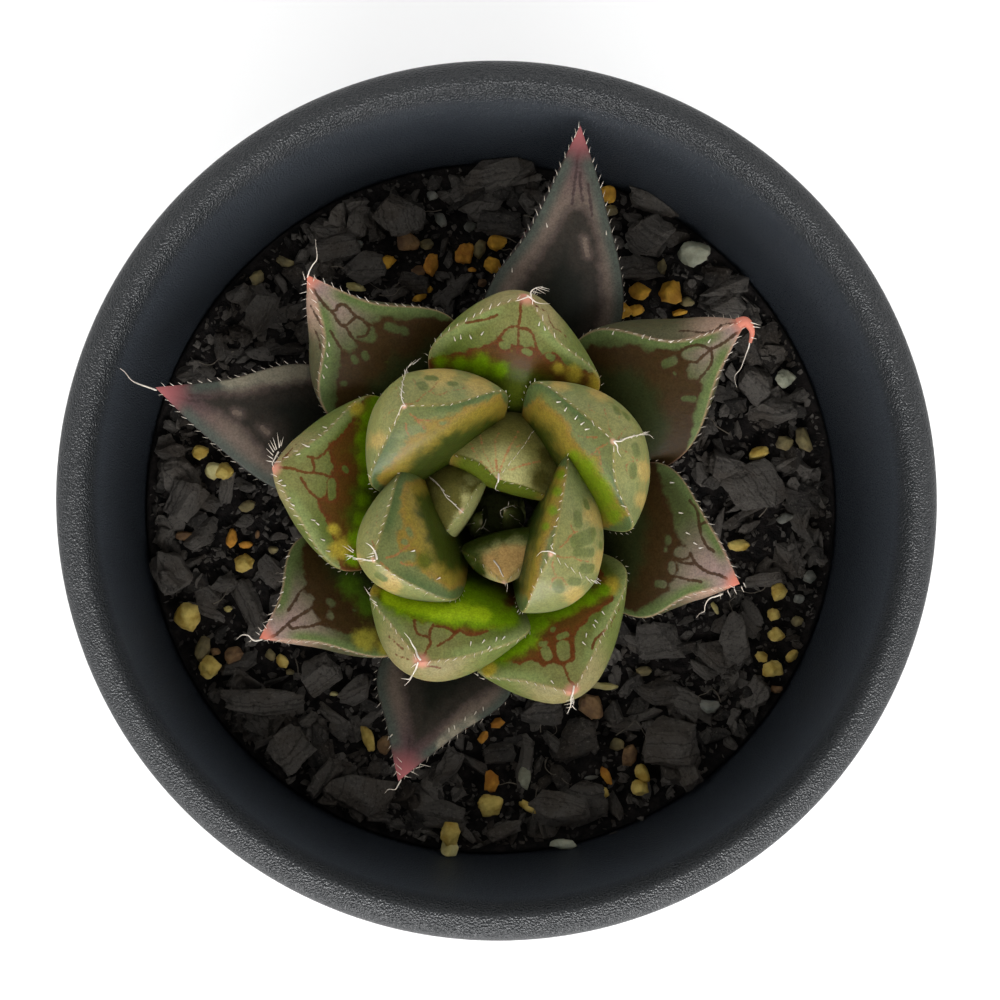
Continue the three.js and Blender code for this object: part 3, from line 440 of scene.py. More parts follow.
                (14.2, -2.2), (14.5, -1.8), (15, -1.6), (14.9, -1.1), (15, -0.5), (15.3, 0), (15.3, 0.6),
                (15.3, 1.1), (14.5, 1.5), (13.8, 1.9), (13.2, 2.3), (12.9, 2.8), (12.7, 3.3), (12.3, 4),
                (12.1, 4.7), (11.9, 5.6), (11.5, 6.7)],
        veins=[
            [(17.3, 0.3), (16.8, 0.1), (16.2, 0.1), (15.7, 0.1), (15.4, 0.1), (15, -0.2), (14.6, -0.4)],
            [(15.4, 0.1), (15.3, 0.6), (15.3, 1.1), (14.7, 1.4), (14.1, 1.6)],
            [(13.9, 5.6), (13.9, 5.1), (14, 4.6), (14.2, 4), (14.5, 3.5), (15, 3.1)],
            [(12.6, 7), (13.2, 6.2), (13.6, 5.6)]],
        islands=[((13.9, 0.7), (14.6, 0.5), 0.57), ((13.7, -0.9), (14.2, -0.9), 0.44),
                 ((13, -1), (13.1, -0.8), 0.26), ((13, 0.7), (13, 1.4), 0.26),
                 ((12.1, 0.5), (12.2, 0.4), 0.22)],
        painted_lit_green=[(12.6, -4.8, 0.9), (12.4, -3.3, 1.2), (11.9, -1.8, 1.1), (11.1, -0.4, 0.8), (10.3, 1.5, 1.2),
              (10.3, 3.1, 1.1), (10.7, 4.6, 0.8), (10.5, 6.1, 0.7), (9.4, -1.4, 1.7), (9, 1.2, 1.7)],
        ochre=[(13.4, -6.2, 0.8), (10.4, 7, 0.9)],
        studs=[(12.3, 5.2), (12.8, 4.3), (13.1, 4), (13.6, 3.1), (14.2, 2.5), (16.4, -1.4)],
        hairs=[
            (0.17, [(17.5, 0.3, 17.9), (18, 0, 18), (18.5, -0.3, 17.1), (19, -0.5, 16.9),
                    (19.4, -0.8, 16.7), (19.7, -1.1, 16.5)]),
            (0.09, [(18.6, -0.1, 16.7), (18.6, -0.8, 16.6)]),
            (0.09, [(19, -0.3, 16.1), (18.9, -1, 16)]),
            (0.09, [(19.2, -0.4, 16.1), (19.7, -0.2, 16)]),
            (0.08, [(19.3, -0.5, 16.1), (19.2, -1, 16)]),
            (0.09, [(13.7, -7.3, 14.3), (13.3, -7.6, 14.3)]),
            (0.09, [(14.2, -6.9, 14.5), (13.9, -7.3, 14.5)])]),
    "leaf_outer_right": dict(
        blotch=[(12.6, 9), (13, 8), (13.7, 6.7), (14.4, 5.6), (15, 4.8), (15.5, 4), (15.9, 3.1),
                (16.3, 2.5), (16.8, 2.1), (17.3, 1.7), (17.8, 1.3), (17.8, 0.7), (16.9, 0.3), (17.2, -0.1),
                (17.3, -1.1), (17.1, -1.5), (16.9, -1.9), (17.1, -2.5), (16.6, -3.1), (16.1, -3.8),
                (15.7, -4.4), (15.1, -5.2)],
        veins=[
            [(21.6, 0.1), (20.8, 0.2), (20.1, 0.1), (19.3, 0.3), (18.7, 0.5), (18.3, 0.8), (17.8, 1.3)],
            [(19.5, 0.2), (18.9, 0.4), (18.4, 0.7)],
            [(18.7, 0.5), (18.1, 0.4), (17.5, 0.3), (16.9, 0.3)],
            [(19.5, -0.9), (18.9, -1), (18.3, -1.1), (17.7, -1.1), (17.1, -1.2)],
            [(16.5, 6), (17.3, 5.3), (17.7, 4.5), (18.1, 3.6), (18.6, 2.8), (19.2, 2.3), (19.8, 2.1)],
            [(17.9, 4), (18.4, 4.5), (19, 4.5)]],
        islands=[((16.9, 1.1), (17.3, 1.2), 0.48), ((16.6, -0.2), (16.8, -0.7), 0.35),
                 ((16, -2.2), (16.5, -2.1), 0.35), ((15.6, 2), (15.7, 1.8), 0.31),
                 ((15.7, 1), (15.7, 0.9), 0.18)],
        studs=[(14.4, 7.1), (15.9, 4.6), (17, 3), (17.9, 2.3), (18.5, 2)],
        hairs=[
            (0.15, [(21.8, -1.3, 15.7), (21.3, -1.7, 15.6), (20.9, -2, 15.4), (20.7, -2.4, 15.3),
                    (20.7, -2.9, 15.1), (20.8, -3.3, 15), (20.5, -3.6, 14.8), (20.3, -4.1, 14.7)]),
            (0.09, [(21.6, -1.3, 15.6), (21.8, -1.8, 15.5)]),
            (0.1, [(22.1, -0.9, 16), (22.6, -1.4, 15.9)]),
            (0.1, [(22.6, -0.6, 16.3), (23, -1, 16.2)]),
            (0.1, [(23.1, -0.2, 16.5), (23.5, -0.6, 16.4)]),
            (0.09, [(23.2, 0.2, 16.5), (23.6, -0.2, 16.4)])]),
    "leaf_outer_back_left": dict(
        blotch=[(16.6, 6), (17.2, 5.1), (18, 4.4), (18.8, 3.6), (19.2, 2.8), (20, 2), (19.5, 1.3),
                (19.6, 0.6), (20, 0.3), (19.5, -0.2), (19.2, -0.4), (18.9, -1.1), (19.7, -1.6),
                (20.3, -1.6), (20, -2.2), (20.2, -2.7), (19.8, -3.3), (19.3, -3.8), (18.8, -4.1),
                (18.2, -5.2), (17.5, -6.4), (16.5, -7.4), (15.9, -8.1)],
        veins=[
            [(26, 0.4), (25.3, 0.5), (24.6, 0.5), (23.9, 0.5), (23.4, 0.4), (23, 0.4), (22.5, 0.5),
             (21.9, 0.5), (21.4, 0.3), (20.8, 0.4), (20.2, 0.4), (19.6, 0.2)],
            [(23.4, 0.4), (23.2, 0), (23.4, -0.3), (23.2, -0.8), (22.6, -1), (21.9, -1), (21.4, -1.2),
             (20.8, -1.4), (20.2, -1.6)],
            [(21.9, 0.5), (21.6, 0.1), (21.6, -0.5), (21.6, -1.1)],
            [(20.7, -1.4), (20.1, -1.3), (19.8, -0.6), (20.1, 0)],
            [(25, 1.6), (24.3, 1.7), (23.7, 1.8), (22.9, 1.9)],
            [(22.1, 1.6), (21.5, 1.7), (20.8, 1.8), (20.2, 1.9), (19.6, 2.3)],
            [(23.2, 2.7), (22.6, 2.8), (22, 3.1), (21.5, 3.4)]],
        islands=[((19.9, -0.9), (19.5, -1), 0.31), ((18.6, 0.5), (18.3, 0.6), 0.31),
                 ((19, 1.5), (18.6, 1.6), 0.26), ((19.2, -2.8), (18.4, -3.3), 0.35),
                 ((18.1, -3.7), (17.9, -3.7), 0.35), ((17.9, 3.7), (17.8, 3.6), 0.26)],
        studs=[(21.2, 2.5), (20.6, 3.2), (19.9, 3.9), (19.4, 4.7)],
        hairs=[
            (0.13, [(27.1, 0.1, 16.5), (27.4, -0.4, 16.7), (27.6, -1, 16.9), (27.7, -1.5, 17.1),
                    (28.1, -1.9, 17.3), (28.6, -2.2, 17.5), (29.1, -2.6, 17.7)]),
            (0.09, [(27.1, 0.4, 16.4), (27.8, 0.1, 16.5)]),
            (0.08, [(26.5, -0.1, 16.4), (26.9, -0.6, 16.5)])]),
    "leaf_outer_front_left": dict(
        blotch=[(16.8, -6.4), (17.4, -5.7), (17.9, -4.9), (18.3, -4), (18.7, -3), (18.8, -2.4),
                (19.3, -2.1), (18.9, -1), (19.1, -0.5), (19.5, -0.2), (19.4, 0.4), (19.3, 1), (19.5, 1.4),
                (19.1, 1.8), (18.8, 2.4), (18.2, 3), (17.2, 3.8), (16.6, 4.7), (15.9, 6.2), (15.2, 7.2)],
        veins=[
            [(24.1, 0.4), (23.3, 0.4), (22.4, 0.2), (21.7, 0), (21.2, 0), (20.5, -0.1), (19.9, -0.1),
             (19.4, -0.2), (18.8, -0.1)],
            [(21.3, -0.1), (20.5, -0.1), (19.6, -0.2)],
            [(21.9, 0.1), (21.8, 0.6), (21.3, 0.8), (20.7, 1.1), (20.1, 1.3), (19.5, 1.4), (19.1, 1.8)],
            [(21.3, -1), (20.8, -1.3), (20.2, -1.6), (19.8, -1.9), (19.3, -2.1)]],
        islands=[((17.7, 0.1), (17.6, 0.3), 0.35), ((18.2, 1.2), (18.2, 1.4), 0.26),
                 ((16.2, 1.8), (16.1, 1.9), 0.13)],
        painted_lit_green=[(15.4, -0.4, 1.2), (14.9, 2, 1.2), (14.2, -2.4, 0.9)],
        ochre=[(16.6, 4.7, 1.2), (15.4, 6.3, 0.7)],
        studs=[(23, -1), (21.8, -1.8), (21, -2.7), (20.2, -3.8), (19, -5.4)],
        hairs=[
            (0.15, [(24.6, 0.2, 15.5), (25.2, 0, 15.6), (25.4, -0.3, 15.6), (25.5, -0.7, 15.7),
                    (25.9, -1, 15.8), (26.2, -1, 15.9), (26.6, -0.9, 16)]),
            (0.07, [(25.5, -0.2, 15.5), (25.8, -0.2, 15.5)]),
            (0.08, [(24.3, -0.5, 15.4), (24.4, -1, 15.5)]),
            (0.08, [(24.6, -0.3, 15.5), (24.8, -0.7, 15.6)]),
            (0.07, [(23.8, -0.5, 15.3), (23.9, -1.1, 15.4)])]),
    "leaf_outer_back_right": dict(
        blotch=[(16.1, 6.9), (16.5, 6.3), (17.5, 5.4), (18.5, 4.8), (19.3, 4.1), (19.6, 3), (20.5, 2.7),
                (21.1, 2.1), (22, 1.4), (21.6, 1), (21.9, 0.1), (21.5, -0.2), (21.1, -1), (21.7, -2.2),
                (21.1, -2.7), (20.4, -3.2), (19.6, -3.8), (18.9, -4.7), (18.2, -5.4), (17.2, -6.2),
                (16.2, -6.8)],
        veins=[
            [(27.4, -0.5), (26.7, -0.4), (25.8, -0.4), (24.8, -0.3), (24.1, -0.1), (23.7, 0.5), (23.2, 1),
             (22.6, 1.3), (22, 1.4)],
            [(24.1, -0.2), (23.2, -0.2), (22.4, -0.3), (21.9, 0.1)],
            [(24, -0.4), (23.5, -1.1), (22.9, -1.4), (22.1, -1.6), (21.4, -1.8)],
            [(27.9, 0), (27.3, 0.5), (26.3, 1.1), (25.8, 1), (25.2, 1.1), (24.4, 1.6), (23.7, 2.4), (23, 3)]],
        islands=[((20.1, 1.3), (20.8, 1.1), 0.4), ((20.2, 0.2), (20.2, 0), 0.11),
                 ((19.6, -2.3), (20.3, -2.8), 0.26)],
        studs=[(24.3, 0.5), (23, 1.5), (20.9, 3.4), (19.9, 4.5), (20.3, 4), (21.6, 2.6), (18.1, 6.5)],
        hooks=[
            (0.62, [(27.6, 0.2, 16), (28.2, 0, 16.1), (28.4, -0.6, 15.7), (28.3, -1.2, 15.2),
                    (27.7, -1.8, 14.8)])],
        hairs=[
            (0.13, [(27.8, -1.6, 14.8), (27.5, -2, 14.4), (27.1, -2.3, 14.1), (26.4, -2.8, 13.7),
                    (25.8, -3.2, 13.4), (25.1, -3.4, 13), (24.8, -3.9, 12.7), (24.7, -4.4, 12.3)]),
            (0.1, [(28.5, -0.4, 16.5), (29, -1.1, 16.6)]),
            (0.1, [(28.4, -0.8, 16.5), (28.9, -1.3, 16.6)]),
            (0.09, [(27.7, -1.5, 16.4), (28, -1.9, 16.5)])]),
    "leaf_low_front": dict(
        # Painted light: glowing patches on the upper band.
        painted_glow=[(21, 3.6, 0.9), (19.6, 4.6, 0.9), (22.4, 2.8, 0.8)],
        blotch=[(17.1, -3.4), (18.9, -2.4), (20.7, -1.4), (22.1, -0.6), (23.3, 0.2), (22.7, 1), (21.2, 1.9),
                (19.8, 2.7), (18.3, 3.6), (17, 4.6), (15.3, 6)],
        veins=[
            [(25.7, 0.1), (24.5, 0.1), (23.4, -0.2), (22.5, -0.4)]],
        studs=[(20.8, 2.8), (20.4, 3.2), (19.3, 3.9), (18.5, 4.7), (17.9, 5.2), (23.1, -2)],
        hairs=[
            (0.12, [(26.6, 0.2, 11.5), (27.2, 0.1, 11.5), (27.6, 0, 11.5), (27.8, -0.6, 11.5),
                    (28.3, -0.8, 11.5)]),
            (0.07, [(25.1, -0.3, 11), (24.8, -0.9, 11.1)]),
            (0.07, [(25.7, -0.1, 11.2), (25.4, -0.8, 11.3)]),
            (0.07, [(26.2, 0, 11.4), (26, -0.5, 11.5)]),
            (0.07, [(25.6, 0.8, 11.1), (25.7, 1.6, 11.1)]),
            (0.07, [(25.2, 1.1, 10.9), (24.7, 1.8, 10.9)]),
            (0.07, [(24.7, 1.4, 10.8), (24.6, 2.4, 10.8)]),
            (0.07, [(26.2, 0.4, 11.3), (26.1, 1, 11.3)])]),
    "leaf_low_back": dict(
        blotch=[(21.2, 2.3), (23.4, 1.4), (25.3, 0.6), (27.3, -0.1), (28.5, -0.6), (29.1, -1.2), (29.1, -2),
                (28.5, -2.7), (27.2, -3.6), (25.7, -4.2), (23.6, -4.9), (21.5, -5.8)],
        veins=[
            [(34.5, -0.6), (33.6, -0.4), (32.7, -0.5), (31.5, -0.6), (30.4, -0.7), (29.2, -0.8)],
            [(32.1, -0.9), (31, -1.2), (29.7, -1.7)],
            [(31.2, -1.9), (29.9, -2.4), (28.6, -2.9)]],
        islands=[((26.3, -2.7), (25.1, -3.3), 0.26)],
        studs=[(22.2, 3.3), (26.7, 1), (27.3, -4.6)],
        hairs=[
            (0.1, [(36, 0.1, 14.5), (36.6, 0.2, 14.6)]),
            (0.08, [(35.1, 0.3, 14.3), (35.9, 0.1, 14.4)])]),
    "leaf_low_left": dict(
        # Painted light: glowing patches on the upper band.
        painted_glow=[(27.4, -3, 1), (26, -3.8, 1.1), (24.6, -4.7, 1.1), (23.2, -5.5, 1.1), (21.8, -6.3, 1.1)],
        blotch=[(20.4, -5.7), (22.2, -4.8), (23.7, -3.8), (24.9, -2.9), (26, -2.2), (27.3, -1.7),
                (28.4, -1.1), (29.3, -0.3), (28.5, 0), (27.3, 0.1), (25.9, 0.4), (24.4, 1), (23, 1.8),
                (21.5, 2.6)],
        veins=[
            [(31.6, 0.2), (30.4, 0.1), (29.2, -0.1)],
            [(30.1, -0.4), (29.2, -0.7), (28.4, -0.9)]],
        islands=[((25.9, -0.4), (25.4, -0.4), 0.26), ((23.1, 0.1), (22.5, 0.3), 0.26)],
        hairs=[
            (0.16, [(33, 0.2, 14.5), (33.9, 0.2, 14.6), (34.7, 0.2, 14.7), (35.4, 0.1, 14.8),
                    (36.2, -0.4, 15), (36.9, -0.6, 15.1), (37.9, -0.7, 15.2)])]),
}

# Loose chips on the mix: place, length, width, turn in degrees and paleness.
LOOSE_CHIPS = [
    (-30.9, 2.5, 5.2, 3.6, -55, 0.55), (-26.3, 1.7, 3.4, 1.5, 80, 0.6), (-28.4, 0.2, 3, 1.8, -20, 0.3),
    (-31.8, -6.8, 4.4, 3.8, -60, 0.6), (-29.4, -3.6, 2.4, 1.8, 30, 0.75), (-26.7, -8.5, 3.8, 2.4, 35, 0.45),
    (-23.9, -9.9, 5.6, 2.6, -65, 0.5), (-28.2, -10.5, 4.2, 1.2, -27, 0.75),
    (-24.9, -15.7, 4, 2.2, 10, 0.25), (-17.1, -16.5, 4.2, 3.8, 40, 0.55), (-13.5, -18.3, 4, 2.6, 35, 0.5),
    (-16.5, -26.8, 4.8, 2.6, 62, 0.4), (-15.1, -21.4, 5.6, 1.2, -38, 0.55), (-12.3, -21.2, 3.6, 1, 42, 0.5),
    (-14.6, -26.2, 2.8, 2, 20, 0.25), (-8, -30.9, 4.6, 0.9, -27, 0.55), (-6.4, -32.1, 3.4, 0.7, -20, 0.6),
    (-4.7, -26.9, 6.2, 2.8, 62, 0.65), (-5.3, -30.2, 5.8, 3.4, -10, 0.35), (8.3, -29.3, 6, 5, 0, 0.35),
    (3, -25.9, 5.4, 1.7, 72, 0.55), (0.6, -24.3, 3.4, 2.4, 10, 0.25), (-0.8, -33.2, 3.2, 0.5, 20, 0.85),
    (18.8, -26, 4.4, 2.6, -55, 0.55), (14.9, -28, 2.2, 1.2, -80, 0.85), (19.6, -19.8, 5.4, 2.2, -30, 0.5),
    (7.7, -23.2, 5.6, 4, 20, 0.2), (4.7, -20.4, 4.4, 3.2, 0, 0.25), (26.4, 12.2, 4.6, 3.8, -50, 0.7),
    (27.1, 8.7, 6.6, 3.2, 15, 0.45), (23.5, 3.7, 5, 3.8, -25, 0.45), (26.1, 2.3, 9.5, 0.7, 32, 0.65),
    (24.7, 0.7, 8.3, 0.7, 30, 0.6), (27.3, 0.5, 7.7, 1, 28, 0.5), (30.5, -1.7, 6.4, 1.6, -60, 0.35),
    (26.9, -7.4, 4.4, 2.2, 22, 0.65), (25.6, -10.6, 3.4, 1.4, -62, 0.45), (16.3, -13.6, 5, 4, 0, 0.4),
    (22, -14.4, 4.6, 3.6, -40, 0.45), (24, -16.7, 2.6, 1, -20, 0.6), (17.2, -18.5, 6.2, 3, 0, 0.3),
    (29.5, -4.7, 5.6, 2.2, -80, 0.3), (-15.9, 25.8, 5.4, 3.4, 10, 0.4), (-12.9, 23.5, 4.6, 3.6, 0, 0.5),
    (0.6, 33.3, 8.5, 4.4, 12, 0.45), (0.6, 28.3, 5, 3.2, 0, 0.2), (-4, 21.4, 5.4, 1.5, 35, 0.55),
    (-7.9, 22.1, 3.4, 2.4, 0, 0.25), (16.2, 30.4, 6.2, 2.6, -18, 0.35), (14.6, 23.7, 5, 2.6, 0, 0.35),
    (22.9, 21.8, 5.6, 2.2, 10, 0.4), (25, -1.5, 4, 0.8, 28, 0.5), (20.6, 6.5, 5, 1.2, 70, 0.5),
    (14.4, -31, 0.8, 0.6, 0, 0.95), (12.3, -33.8, 0.9, 0.6, 20, 0.95), (8.2, -30.8, 0.6, 0.6, 0, 0.95),
]

# Loose grains by colour: place, length, width and turn in degrees.
GRIT = {
    "yellow": [
        (-28.9, 5.1, 1.7, 1.6, 0), (-20.7, -15.4, 1.6, 1.2, -60), (26.3, 5.2, 2.2, 1.3, 20),
        (27.7, -10.9, 1.4, 1.3, 0), (27.9, -12.9, 1.7, 1.6, 0), (26.5, -15, 1.5, 1.2, -40),
        (29.5, -15, 1.6, 1.1, 40), (3.7, -29.7, 2.8, 1.2, -20), (14.6, -26.4, 2.1, 1.5, -65),
        (10.5, -28.3, 1.8, 1.4, -20), (-12.3, -22.9, 2.8, 1.2, -70),
    ],
    "gold": [
        (-7.4, 20.6, 1.7, 0.8, 20), (-6.5, 21.4, 0.9, 0.8, 0), (12.5, 20.6, 1.3, 0.7, -70),
        (14.2, 19.5, 1.8, 1.2, 10), (18.6, 19.3, 1.7, 0.8, 10),
    ],
    "cream": [
        (-27.5, 3.3, 2, 1.9, 0), (-26.1, -10.3, 0.9, 0.7, 0), (-15.7, -18.6, 0.9, 0.5, 0),
        (-13.8, 21.6, 2.2, 0.9, -10), (22, -10.2, 1.5, 0.6, -60), (-4.4, -33.8, 3.4, 1.8, 78),
        (10.8, -17.9, 3, 0.8, -5),
    ],
    "orange": [
        (-25.8, -3.4, 2, 1.2, 80), (-24.4, -4, 1.5, 0.8, 0), (-6.3, 23.8, 2.4, 1.5, 80),
        (-2.9, 24.9, 2.5, 1.9, 60), (-2.2, 23.4, 0.9, 0.6, 0), (0.3, -21.5, 1.6, 1.1, 10),
        (-1.1, -22.9, 1.5, 0.9, 55), (-0.4, -27.1, 2.2, 1.8, 90), (11.1, -26.7, 2.1, 1, -65),
    ],
    "tan": [
        (-21.7, -4.5, 1.1, 0.9, 0), (-24.3, -0.2, 1.8, 1.2, 20), (-28.5, -14.3, 2.8, 1.5, 80),
        (-21.9, -14.8, 1.3, 1, -50), (-20, -16.5, 0.9, 0.7, 0), (-17.9, -18.1, 0.7, 0.6, 0),
        (-23.5, 22.4, 1.7, 1.4, 50), (-20.7, 24.1, 1.9, 1.2, -20), (-11.7, 24, 1, 0.9, 0),
        (-6.7, 25.9, 1.5, 1.2, 0), (-1.5, 25.4, 2, 1.3, 70), (11.7, 29.4, 1.4, 1.2, 0),
        (19.3, 20.3, 1.5, 1.2, 0), (16.8, 23.8, 1.8, 1, 85), (28.9, 6.2, 1.9, 1.6, 0),
        (31, 6.5, 2.7, 1.7, -70), (30.1, -11.5, 1.3, 1.2, 0), (14.8, -16.4, 1.7, 1.1, 0),
        (12.1, -23.6, 1.5, 1.3, 0),
    ],
    "brown": [
        (-30.5, -3.1, 1.8, 1, 5), (-23.3, -3, 0.9, 0.5, 80), (-25.5, -14.8, 2, 1.7, 40),
        (-27.3, -14.5, 1.1, 0.8, 0), (-8.6, 25.9, 2.5, 2.2, 0), (-7.6, 23.1, 1.6, 1.4, 0),
        (-1.2, 22.1, 1, 0.9, 0), (28, -18.2, 1.3, 1, 0), (9.5, -19.8, 3, 2.5, -60),
        (13.3, -24.7, 2.4, 1.6, 70), (-10.7, -23.6, 2, 1.6, 70),
    ],
    "grey": [
        (-2.4, 27.8, 1.3, 1.2, 0), (-13.5, 25.9, 1.1, 0.9, 0), (-5.3, 28.4, 1.7, 1.1, -60),
        (-6.2, 30.8, 1.2, 1, 0), (29, -1.3, 1.8, 1.1, 20), (31.3, -7.1, 1.5, 1.4, 0),
        (30.3, -9.3, 1.2, 1, 0), (21.3, -19.8, 2.1, 1.7, 0), (9.6, -26.9, 1.5, 0.5, 5),
        (13.6, 26, 1.2, 0.8, 10),
    ],
}

# ---- Small helpers ----------------------------------------------------------------------------


def srgb(code):
    """The linear colour of a #rrggbb code."""
    parts = [int(code[i:i + 2], 16) / 255 for i in (1, 3, 5)]
    return tuple(c / 12.92 if c <= 0.04045 else ((c + 0.055) / 1.055) ** 2.4 for c in parts) + (1.0,)


def unit(vectors):
    return vectors / np.maximum(np.linalg.norm(vectors, axis=-1, keepdims=True), 1e-9)


def mesh_object(name, points, faces, material, smooth=True):
    """An object from points in millimetres and faces of three or four corners."""
    mesh = bpy.data.meshes.new(name)
    mesh.from_pydata((np.asarray(points, float) * MM).tolist(), [], faces)
    mesh.materials.append(material)
    mesh.polygons.foreach_set("use_smooth", [smooth] * len(mesh.polygons))
    mesh.update()
    piece = bpy.data.objects.new(name, mesh)
    bpy.context.scene.collection.objects.link(piece)
    return piece


def stands_for(piece, node):
    """The piece is the look of one CAD node."""
    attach(piece, "root")
    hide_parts(node)


class Graph:
    """A short way to write the nodes of a material or of the world."""

    def __init__(self, owner, shader="Principled BSDF", coordinate="Object", scale=1 / MM):
        owner.use_nodes = True
        self.owner = owner
        self.tree = owner.node_tree
        self.shader = self.tree.nodes[shader]
        scaled = self.node("ShaderNodeVectorMath", operation="SCALE")
        scaled.inputs["Scale"].default_value = scale
        self.feed(scaled.inputs[0], self.node("ShaderNodeTexCoord").outputs[coordinate])
        self.place = scaled.outputs[0]

    def node(self, kind, **settings):
        node = self.tree.nodes.new(kind)
        for key, value in settings.items():
            setattr(node, key, value)
        return node

    def feed(self, socket, value):
        """Links the socket, or sets it; a text is a #rrggbb colour."""
        if isinstance(value, bpy.types.NodeSocket):
            self.tree.links.new(value, socket)
        else:
            socket.default_value = srgb(value) if isinstance(value, str) else value

    def result(self, kind, output, inputs, **settings):
        """One output of a new node with these inputs."""
        node = self.node(kind, **settings)
        for key, value in inputs.items():
            self.feed(node.inputs[key], value)
        return node.outputs[output]

    def axes(self):
        """The place's X, Y and Z."""
        node = self.node("ShaderNodeSeparateXYZ")
        self.feed(node.inputs[0], self.place)
        return [node.outputs[axis] for axis in "XYZ"]

    def noise(self, scale, detail=3.0, rough=0.55):
        return self.result("ShaderNodeTexNoise", "Fac", {
            "Vector": self.place, "Scale": scale, "Detail": detail, "Roughness": rough})

    def noise_along(self, value, scale, detail=3.0):
        return self.result("ShaderNodeTexNoise", "Fac", {"W": value, "Scale": scale, "Detail": detail},
                           noise_dimensions="1D")

    def cells(self, scale):
        return self.result("ShaderNodeTexVoronoi", "Distance", {"Vector": self.place, "Scale": scale})

    def attribute(self, name):
        return self.result("ShaderNodeAttribute", "Fac", {}, attribute_name=name)

    def step(self, value, low, high, start=0.0, end=1.0):
        """start below low, end above high, and a smooth change between them."""
        return self.result("ShaderNodeMapRange", "Result", {
            "Value": value, "From Min": low, "From Max": high, "To Min": start, "To Max": end,
        }, interpolation_type="SMOOTHSTEP")

    def math(self, operation, a, b=0.0):
        return self.result("ShaderNodeMath", 0, {0: a, 1: b}, operation=operation)

    def mix(self, share, a, b, blend="MIX"):
        return self.result("ShaderNodeMix", "Result", {"Factor": share, "A": a, "B": b},
                           data_type="RGBA", blend_type=blend)

    def bump(self, height, distance):
        self.feed(self.shader.inputs["Normal"], self.result("ShaderNodeBump", "Normal", {
            "Height": height, "Distance": distance * MM, "Strength": 1.0}))

    def finish(self, color, roughness, **sockets):
        self.feed(self.shader.inputs["Base Color"], color)
        self.feed(self.shader.inputs["Roughness"], roughness)
        for key, value in sockets.items():
            self.shader.inputs[key.replace("_", " ")].default_value = value
        return self.owner


def material_graph(name):
    return Graph(bpy.data.materials.new(name))


# ---- Materials --------------------------------------------------------------------------------


def pot_material():
    """Grained plastic. The inner wall is painted paler and the outside and the lip darker: painted light on
    the wall and painted shade on the lip.
    """
    g = material_graph("black_plastic")
    grain = g.cells(5.5)
    x, y, height = g.axes()
    radius = g.math("SQRT", g.math("ADD", g.math("MULTIPLY", x, x), g.math("MULTIPLY", y, y)))
    foot = g.math("SUBTRACT", radius, g.math("MULTIPLY", height, POT_TAPER))
    outside = g.step(foot, inner_radius(0) + 0.3, inner_radius(0) + 0.9)
    shaded_lip = g.step(height, POT_HEIGHT - MOUTH_DEPTH, POT_HEIGHT - 0.5)
    # Painted light: the inner wall's paler colour.
    color = g.mix(g.noise(0.08), "#262a30", "#32373d")
    # Painted shade: the outside and the lip are darker than the inner wall.
    color = g.mix(g.math("MAXIMUM", outside, shaded_lip), color, "#14171a")
    g.bump(g.math("ADD", grain, g.noise(4.5, 3.0, 0.6)), 0.12)
    return g.finish(color, g.step(grain, 0.1, 0.6, 0.24, 0.42), Specular_IOR_Level=0.26)


def mix_material():
    """Fine mix seen between the chips, painted near black: partly its own dark colour, partly painted shade
    in the gaps.
    """
    g = material_graph("crumbled_mix")
    lumps = g.noise(0.9, 5.0, 0.65)
    # Near black: partly the mix's own colour, partly painted shade between the chips.
    color = g.mix(g.step(lumps, 0.35, 0.7), "#0c0b0b", "#2a2523")
    g.bump(g.noise(2.2, 5.0, 0.7), 0.5)
    return g.finish(color, 0.9, Specular_IOR_Level=0.2)


def charcoal_material():
    """Charcoal and bark: a tone for each lump and streaks across it, with painted shade in the dents of the
    bump and painted highlights on its raised crumbs.
    """
    g = material_graph("charcoal")
    tone = g.math("ADD", g.attribute("tone"), g.math("MULTIPLY", g.noise(0.5, 4.0, 0.6), 0.5))
    warp = g.math("MULTIPLY", g.noise(0.8, 4.0, 0.6), 1.2)
    streak = g.noise_along(g.math("ADD", g.attribute("across"), warp), 2.6)
    crumbs = g.noise(2.6, 6.0, 0.75)
    color = g.mix(g.step(tone, 0.05, 0.95), "#1d1c1c", "#706b65")
    color = g.mix(g.step(g.noise(0.25, 3.0), 0.45, 0.65, 0.0, 0.5), color, "#463c32")
    color = g.mix(g.step(streak, 0.3, 0.48, 0.45, 0.0), color, "#131314")
    # Painted shade: the low dents of the bump are darkened.
    color = g.mix(g.step(crumbs, 0.34, 0.46, 0.6, 0.0), color, "#101010")
    # Painted highlight: the raised crumbs are paled.
    color = g.mix(g.step(crumbs, 0.54, 0.7, 0.0, 0.55), color, "#8c857c")
    g.bump(g.math("ADD", crumbs, g.math("MULTIPLY", streak, 0.25)), 0.45)
    return g.finish(color, 0.8, Specular_IOR_Level=0.12)


def grit_material(name, dark, light):
    g = material_graph(name)
    tone = g.noise(0.7, 3.0)
    pits = g.noise(3.2, 4.0, 0.7)
    color = g.mix(g.step(tone, 0.3, 0.7), dark, light)
    color = g.mix(g.step(pits, 0.55, 0.75, 0.0, 0.5), color, dark)
    g.bump(pits, 0.15)
    return g.finish(color, 0.8, Subsurface_Weight=0.1)


def hair_material():
    g = material_graph("translucent_teeth")
    color = g.mix(g.noise(2.0), "#b4a896", "#dcd0c0")
    return g.finish(color, 0.4, Subsurface_Weight=0.2)


